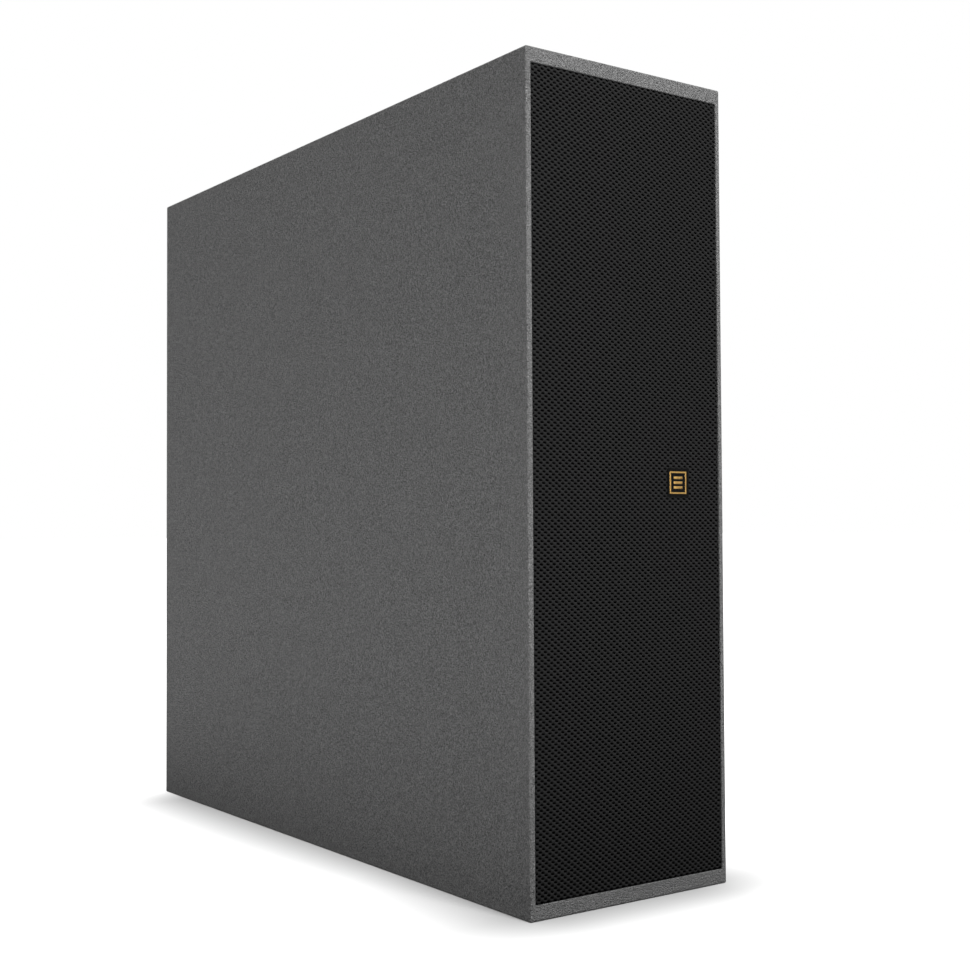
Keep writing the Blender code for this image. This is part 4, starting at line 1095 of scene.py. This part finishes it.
def threaded_insert(node):
    """A flanged insert whose bore carries an M8 thread."""
    low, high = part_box(node)
    outer, bore, length = (high.x - low.x) / 2, 3.4 * MM, high.y - low.y
    pitch, depth, plain_end = 1.25 * MM, 0.5 * MM, MM
    mouth, tip = bore + MM, bore + 0.8 * MM
    turns = int((length - 2 * plain_end) / pitch)
    profile = [(mouth, 0.0), (outer, 0.0), (outer, -length), (tip, -length)]
    for i in reversed(range(turns)):
        z = -plain_end - pitch * (i + 1)
        profile += [(bore, z + 0.1 * pitch), (bore + depth, z + 0.6 * pitch)]
    middle = centre_of(node)
    mesh = revolved(profile, (middle.x, high.y, middle.z), FACING_BACK, 48, sharp=20)
    fixed_piece(node + "_sleeve", mesh, ZINC, "zinc_steel", node)


# --- Inside --------------------------------------------------------------------------------------


def lining(node):
    """A sheet of open-cell foam, its free edges slightly rounded."""
    low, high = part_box(node)
    form = block_form(low, high, 3 * MM, 4)
    piece = fixed_piece(node + "_foam", mesh_from(form, node), GREY_FOAM, "grey_foam", node)


def brace():
    low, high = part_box("window_brace")
    rail = 22 * MM
    half_x = INNER_X - rail
    window_z = (INNER_HIGH_Z - INNER_LOW_Z - 3 * rail) / 2
    tools = []
    for side in (-1, 1):
        centre_z = MIDDLE_Z + side * (window_z + rail) / 2
        span = panel_span(half_x, window_z / 2, low.y - OUTSIDE, high.y + OUTSIDE, centre_z)
        tools.append(block(*span, radius=8 * MM, segments=6, only="Y"))
    mesh = carve(block(low, high), "brace_frame", tools, bevel=0.8 * MM)
    fixed_piece("brace_frame", mesh, PLYWOOD, "birch_plywood", "window_brace")


def finish_kept_nodes():
    """CAD nodes whose shape is right get a better material."""
    finishes = {
        "front_baffle": BLACK_WOOD,
        "crossover_board": CIRCUIT,
        "crossover_coil": COIL,
        "input_cable": RUBBER,
        "lf_upper_cable": RUBBER,
        "lf_lower_cable": RUBBER,
        "hf_cable": RUBBER,
        "badge_washer": ZINC,
    }
    for node, material in finishes.items():
        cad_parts[node].material_slots[0].material = material


# --- Grille --------------------------------------------------------------------------------------

CELL_X, CELL_Z = 3.05 * MM, 4.33 * MM  # from one column of cells to the next, and up a column
CELL_LEAN = 0.042  # how far a column leans to the right for each unit up
EYE_X, EYE_Z = 1.86 * MM, 0.83 * MM  # half the width and height of a cell's hole
EYE_TILT = math.radians(-10)
CLOTH_BEND = 0.35 * MM  # the radius at which the cloth turns round the tray's edge
CLOTH_PROUD = 0.6 * MM  # how far the cloth swells in front of its solid


def cell_centres(half_x, low_z, high_z, step_x, step_z):
    """Centres (x, z) of the cells in columns, each half a step up from the one before."""
    columns = int(half_x / step_x)
    rows = int((high_z - low_z) / step_z)
    first_z = (low_z + high_z) / 2 - (rows - 1) * step_z / 2
    centres = []
    for column in range(-columns, columns + 1):
        shift = 0.5 * (column % 2)
        for row in range(rows - column % 2):
            centres.append((column * step_x, first_z + (row + shift) * step_z))
    return np.array(centres)


def cell_outline(step_x, step_z):
    """The six corners that a cell shares with its neighbours, anticlockwise from the right."""
    skew = step_z**2 / (8 * step_x)
    far, near = step_x / 2 + skew, step_x / 2 - skew
    half = step_z / 2
    return np.array([(far, 0), (near, half), (-near, half), (-far, 0), (-near, -half), (near, -half)])


def net(centres, corners, shapes):
    """A sheet of six-sided cells: flat points (x, z), faces, and the rings of the points and faces.

    Ring 0 is the corners, shared between cells. The others are inside each cell, and one of a
    single point closes it.
    """
    count = len(centres)
    corner_points = (centres[:, None, :] + corners[None, :, :]).reshape(-1, 2)
    keys = np.floor(corner_points / (0.01 * MM) + 0.2).astype(int)  # no corner lies on a whole number
    _, first, index = np.unique(keys, axis=0, return_index=True, return_inverse=True)
    points, rings = [corner_points[first]], [np.zeros(len(first), int)]
    outer, used = index.reshape(count, 6), len(first)
    faces, face_rings = [], []
    for number, shape in enumerate(shapes, start=1):
        points.append((centres[:, None, :] + shape[None, :, :]).reshape(-1, 2))
        rings.append(np.full(count * len(shape), number))
        inner = np.arange(used, used + count * len(shape)).reshape(count, len(shape))
        used += count * len(shape)
        following = np.roll(outer, -1, axis=1)
        if len(shape) == 1:
            tips = np.broadcast_to(inner, outer.shape)
            group = np.stack((outer, following, tips), axis=2).reshape(-1, 3)
        else:
            group = np.stack((outer, following, np.roll(inner, -1, axis=1), inner), axis=2).reshape(-1, 4)
        faces += group.tolist()
        face_rings += [number] * len(group)
        outer = inner
    return np.concatenate(points), faces, np.concatenate(rings), face_rings


def band(rings, centre_z, offset):
    """Points and quads of a strip through rounded rectangles, each (half_x, half_z, radius, y)."""
    points, faces = [], []
    for half_x, half_z, radius, y in rings:
        outline = rounded_rectangle(half_x, half_z, radius, 5)
        points += [(x, y, centre_z + z) for x, z in outline]
    count = len(points) // len(rings)
    for ring in range(len(rings) - 1):
        for i in range(count):
            j = (i + 1) % count
            a, b = offset + ring * count, offset + (ring + 1) * count
            faces.append((a + i, b + i, b + j, a + j))
    return points, faces


def ellipse(half_x, half_z, tilt):
    """Six points of a tilted ellipse."""
    angles = np.arange(6) * math.pi / 3
    x, z = half_x * np.cos(angles), half_z * np.sin(angles)
    sine, cosine = math.sin(tilt), math.cos(tilt)
    return np.column_stack((x * cosine - z * sine, x * sine + z * cosine))


def wrapped(along, half, bend):
    """Where a flat distance from the middle comes to when the cloth turns round an edge: the
    distance out, the drop behind the face, and the angle of the surface there."""
    flat = half - bend
    over = np.clip(np.abs(along) - flat, 0, None)
    angle = np.minimum(over / bend, math.pi / 2)
    down = np.clip(over - bend * math.pi / 2, 0, None)
    out = np.minimum(np.abs(along), flat) + bend * np.sin(angle)
    return np.sign(along) * out, bend * (1 - np.cos(angle)) + down, np.sign(along) * angle


def grille_cloth():
    """Acoustic fabric: a knitted net with oval eyes, stretched round the tray's edge; each eye is closed by a
    near-black pit of painted shade.
    """
    (_, _, mid_z), (half_x, _, half_z) = middle_and_half(GRILLE_LOW, GRILLE_HIGH)
    face_y, bend = GRILLE_LOW.y - CLOTH_PROUD, CLOTH_BEND
    ring_depths = np.array([0.0, 0.25 * MM, 2.6 * MM])  # of the corners, the eye's rim and its middle
    stray, ripple = 0.06 * MM, 0.12 * MM  # how unevenly the net is knitted, across and in depth
    over = bend * (math.pi / 2 - 1) + 0.5 * MM  # how much of the net turns onto the side
    end_x, end_z = half_x + over, half_z + over
    centres = cell_centres(end_x * 1.3, -end_z - CELL_Z, end_z + CELL_Z, CELL_X, CELL_Z)
    centres[:, 0] += CELL_LEAN * centres[:, 1]
    inside = (np.abs(centres[:, 0]) < end_x + CELL_X * 0.3) & (np.abs(centres[:, 1]) < end_z + CELL_Z * 0.3)
    corners = cell_outline(CELL_X, CELL_Z)
    corners[:, 0] += CELL_LEAN * corners[:, 1]
    shapes = (ellipse(EYE_X, EYE_Z, EYE_TILT), np.zeros((1, 2)))
    flat, faces, rings, face_rings = net(centres[inside], corners, shapes)
    rng = np.random.default_rng(SEED)
    flat = flat + rng.normal(0, stray, flat.shape)
    depth = ring_depths[rings] + rng.uniform(0, ripple, len(flat))
    x, drop_x, angle_x = wrapped(np.clip(flat[:, 0], -end_x, end_x), half_x, bend)
    z, drop_z, angle_z = wrapped(np.clip(flat[:, 1], -end_z, end_z), half_z, bend)
    points = np.column_stack(
        (
            x - depth * np.sin(angle_x),
            face_y + drop_x + drop_z + depth * np.cos(angle_x) * np.cos(angle_z),
            mid_z + z - depth * np.sin(angle_z),
        )
    )
    side_y = face_y + bend + 0.3 * MM
    hem = [
        (half_x - 0.05 * MM, half_z - 0.05 * MM, bend, side_y),
        (half_x, half_z, bend, side_y + 0.4 * MM),
        (half_x, half_z, bend, GRILLE_HIGH.y),
    ]
    hem_points, hem_faces = band(hem, mid_z, len(points))
    mesh = bpy.data.meshes.new("grille_cloth")
    mesh.from_pydata(points.tolist() + hem_points, [], faces + hem_faces)
    mesh.materials.append(YARN)
    # The eyes' closed pits take the near-black finish: painted shade in the holes, over the net's inner
    # layer.
    mesh.materials.append(NET_AND_EYE_SHADE)
    indices = [ring - 1 for ring in face_rings] + [0] * len(hem_faces)
    mesh.polygons.foreach_set("material_index", indices)
    mesh.shade_smooth()
    piece = place_piece("grille_cloth", mesh, YARN, "grille", "acoustic_fabric", "grille_fabric")


def grille_steel():
    """The tray behind the cloth: sheet steel with six-sided holes, its edge folded back."""
    (_, _, mid_z), (half_x, _, half_z) = middle_and_half(STEEL_LOW, STEEL_HIGH)
    front_y, sheet = STEEL_LOW.y, 1.2 * MM
    back_y = front_y + sheet
    rim_y = GRILLE_HIGH.y  # in front of the studs' ends
    step_z = 7.6 * MM
    step_x = step_z * math.sqrt(3) / 2
    margin, open_share = 9 * MM, 0.84
    centres = cell_centres(half_x - margin, margin - half_z, half_z - margin, step_x, step_z)
    corners = cell_outline(step_x, step_z)
    hole = corners * open_share
    flat, faces, rings, _ = net(centres, corners, (hole, hole, corners))
    levels = np.array([front_y, front_y, back_y, back_y])[rings]
    points = np.column_stack((flat[:, 0], levels, mid_z + flat[:, 1]))
    wide_x = np.abs(centres[:, 0]).max() + step_x * 0.3
    wide_z = np.abs(centres[:, 1]).max() + step_z * 0.2
    tiny = 0.02 * MM
    border = [
        (wide_x, wide_z, 0.5 * MM, front_y + tiny),
        (half_x - 1.5 * MM, half_z - 1.5 * MM, 1.0 * MM, front_y + tiny),
        (half_x - 0.5 * MM, half_z - 0.5 * MM, 1.8 * MM, front_y + 0.4 * MM),
        (half_x, half_z, 2.2 * MM, front_y + 1.5 * MM),
        (half_x, half_z, 2.2 * MM, rim_y),
        (half_x - sheet, half_z - sheet, 1.2 * MM, rim_y),
        (half_x - sheet, half_z - sheet, 1.2 * MM, back_y + 0.8 * MM),
        (half_x - sheet - 0.8 * MM, half_z - sheet - 0.8 * MM, 0.6 * MM, back_y - tiny),
        (wide_x, wide_z, 0.5 * MM, back_y - tiny),
    ]
    border_points, border_faces = band(border, mid_z, len(points))
    mesh = bpy.data.meshes.new("grille_steel")
    mesh.from_pydata(points.tolist() + border_points, [], faces + border_faces)
    mesh.shade_smooth()
    mesh.set_sharp_from_angle(angle=math.radians(40))
    place_piece("grille_steel", mesh, POWDER_COAT, "grille", "black_steel", "grille_panel")


def grille_studs():
    """Four ball studs on the tray, and the rubber cups in the baffle that they push into."""
    stud_x, stud_offset = 80 * MM, 201 * MM
    low_y, end_y = STEEL_LOW.y + 0.6 * MM, STEEL_HIGH.y
    length = end_y - low_y
    stem, ball = 1.9 * MM, 2.5 * MM
    base = in_mm((0, 0), (5, 0), (5, -1.6), (3, -2.4))
    neck = [(stem, -3.2 * MM), (stem, -length + 2.2 * ball)]
    head = arc((0, -length + ball), ball, 50, -90, 10)
    stud = base + neck + head[:-1] + [(0, -length)]
    cup = ring_profile(2.8 * MM, 6.5 * MM, MM, 0.05 * MM)
    for number, (sx, sz) in enumerate(((-1, -1), (-1, 1), (1, -1), (1, 1)), start=1):
        x, z = sx * stud_x, MIDDLE_Z + sz * stud_offset
        mesh = revolved(stud, (x, low_y, z), steps=32)
        place_piece(f"grille_stud_{number}", mesh, ZINC, "grille", "zinc_steel")
        mesh = revolved(cup, (x, BAFFLE_Y, z), steps=40, fillet=0.3 * MM)
        fixed_piece(f"stud_cup_{number}", mesh, RUBBER, "rubber")


# --- Badge ---------------------------------------------------------------------------------------


def badge():
    """A black plate with a raised gold frame round three plain bars, and its pin."""
    low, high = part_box("badge")
    (x, _, z), (half, _, _) = middle_and_half(low, high)
    plate_back = GRILLE_LOW.y - CLOTH_PROUD - 0.02 * MM
    relief = 0.12 * MM
    face_y = low.y + relief
    plate = block((low.x, face_y, low.z), (high.x, plate_back, high.z), 0.1 * MM)
    pin = rods(2.5 * MM, [(x, z)], plate_back - 0.1 * MM, high.y, 32)
    mesh = carve(plate, "badge_plate", unions=[pin])
    place_piece("badge_plate", mesh, ENAMEL, "badge", "black_plastic", "badge")
    frame_half, line = 8.9 * MM, 1.2 * MM
    base_y = face_y + 0.15 * MM

    def raised(half_x, half_z, centre_z, hole=None):
        form = block(*panel_span(half_x, half_z, low.y, base_y, centre_z, x), radius=0.12 * MM)
        if hole is None:
            return form
        return carve(form, "ring", [hole], bevel=0.1 * MM)

    opening = block(*panel_span(frame_half - line, frame_half - line, low.y - MM, base_y + MM, z, x))
    marks = [raised(frame_half, frame_half, z, opening)]
    bar_half, bar_pitch = 4.6 * MM, 3.9 * MM
    for step in (-1, 0, 1):
        marks.append(raised(bar_half, 0.95 * MM, z + step * bar_pitch))
    place_piece("badge_relief", merged(marks, "badge_relief"), GOLD, "badge", "gold_badge")
    rim_half = half - 0.45 * MM
    rim_hole = block(*panel_span(rim_half, rim_half, low.y - MM, base_y + MM, z, x))
    rim = block(*panel_span(half, half, low.y, base_y, z, x), radius=0.1 * MM)
    place_piece("badge_lip", carve(rim, "lip", [rim_hole]), ENAMEL, "badge", "black_plastic")


# --- Stage ---------------------------------------------------------------------------------------


def camera_share(tree):
    """1 for what the camera sees directly, and 0 for light on its way to the object."""
    return tree.nodes.new("ShaderNodeLightPath").outputs["Is Camera Ray"]


def white_world():
    """The camera sees plain white. The object is lit by a dimmer, even surround."""
    world = bpy.data.worlds.new("studio")
    world.use_nodes = True
    tree = world.node_tree
    surround_light = tree.nodes["Background"]
    surround_light.inputs["Color"].default_value = (1, 1, 1, 1)
    surround_light.inputs["Strength"].default_value = SURROUND_LIGHT
    backdrop = tree.nodes.new("ShaderNodeBackground")
    backdrop.inputs["Color"].default_value = (1, 1, 1, 1)
    choice = tree.nodes.new("ShaderNodeMixShader")
    tree.links.new(camera_share(tree), choice.inputs[0])
    tree.links.new(surround_light.outputs[0], choice.inputs[1])
    tree.links.new(backdrop.outputs[0], choice.inputs[2])
    tree.links.new(choice.outputs[0], tree.nodes["World Output"].inputs["Surface"])
    bpy.context.scene.world = world
    bpy.context.scene.view_settings.view_transform = "Standard"


def white_floor():
    """A pale floor whose glow rises away from the cabinet: a painted shadow round its foot, darker in front.

    The object is lit by another glow, which rises and falls again further out.
    """
    form = bmesh.new()
    bmesh.ops.create_grid(form, x_segments=1, y_segments=1, size=40)
    mesh = mesh_from(form, "floor")
    if mesh.polygons[0].normal.z < 0:
        mesh.flip_normals()
    finish = Finish("studio_floor", (1, 1, 1), 1.0, specular=0.0)
    low, high = Vector(SHADOW_LOW), Vector(SHADOW_HIGH)
    offset = finish.vector("SUBTRACT", finish.place, (*((low + high) / 2), 0))
    offset = finish.vector("ABSOLUTE", offset)
    offset = finish.vector("SUBTRACT", offset, (*((high - low) / 2), 0))
    offset = finish.vector("MAXIMUM", offset, (0, 0, 0))
    distance = finish.vector("LENGTH", finish.vector("MULTIPLY", offset, RETURN_STRETCH))
    squeezed = finish.vector("LENGTH", finish.vector("MULTIPLY", offset, SHADOW_SQUEEZE))
    # The glow the camera sees is low near the foot: it paints the soft shadow there.
    glow = finish.ramp(squeezed, 0, SHADOW_REACH, kind="SMOOTHSTEP")
    rise = finish.ramp(distance, 0, RETURN_REACH, kind="SMOOTHSTEP")
    fall = finish.ramp(distance, *RETURN_END, kind="SMOOTHSTEP")
    near = finish.maths("SUBTRACT", rise, fall)
    seen = camera_share(finish.tree)
    # The camera sees a darker floor in front of the cabinet than beside it: painted shadow.
    y = finish.add("ShaderNodeSeparateXYZ", {"Vector": finish.place}).outputs["Y"]
    shade = finish.ramp(y, SHADE_START, SHADE_END, *FLOOR_SHADE)
    finish.set("Base Color", finish.ramp(seen, 0, 1, FLOOR_BOUNCE, shade))
    finish.set("Emission Color", (1, 1, 1, 1))
    strength = finish.ramp(seen, 0, 1, finish.maths("MULTIPLY", near, FLOOR_RETURN), glow)
    finish.set("Emission Strength", strength)
    mesh.materials.append(finish.material)
    floor = bpy.data.objects.new("studio_floor", mesh)
    bpy.context.scene.collection.objects.link(floor)


def lights():
    """A key high in front and a faint low fill, and a broad soft box on each other side."""
    for name, place, size, power in SOFTBOXES:
        light = bpy.data.lights.new(name, "AREA")
        light.shape = "RECTANGLE"
        light.size, light.size_y = size
        light.energy = power
        obj = bpy.data.objects.new(name, light)
        bpy.context.scene.collection.objects.link(obj)
        obj.location = place
        target = Vector((place[0] * SOFTBOX_AIM, place[1] * SOFTBOX_AIM, MIDDLE_Z))
        obj.rotation_euler = (target - obj.location).to_track_quat("-Z", "Y").to_euler()


def camera():
    """Low, ahead of the grille and to the left, looking slightly up."""
    data = bpy.data.cameras.new("camera")
    data.lens = 53.37
    data.sensor_width = 36.0
    data.clip_start, data.clip_end = 0.05, 100
    obj = bpy.data.objects.new("camera", data)
    bpy.context.scene.collection.objects.link(obj)
    heading, tilt, roll = math.radians(35.72), math.radians(1.674), math.radians(-0.29)
    turn = Matrix.Rotation(-heading, 4, "Z") @ Matrix.Rotation(math.pi / 2 + tilt, 4, "X")
    place = Matrix.Translation((-0.7463, -1.1744, 0.2904))
    obj.matrix_world = place @ turn @ Matrix.Rotation(roll, 4, "Z")
    bpy.context.scene.camera = obj


# --- The object, piece by piece ------------------------------------------------------------------

camera()
white_world()
white_floor()
lights()

cabinet_shell()
rear_panel()
port_duct("upper_port_duct")
port_duct("lower_port_duct")
brace()
lining("left_lining")
lining("right_lining")
low_frequency_driver("lf_upper")
low_frequency_driver("lf_lower")
horn()
compression_driver(waveguide())
connector_plate()
socket("input_socket")
socket("link_socket")
terminals()
for insert in INSERTS:
    threaded_insert(insert)
finish_kept_nodes()
grille_steel()
grille_cloth()
grille_studs()
badge()
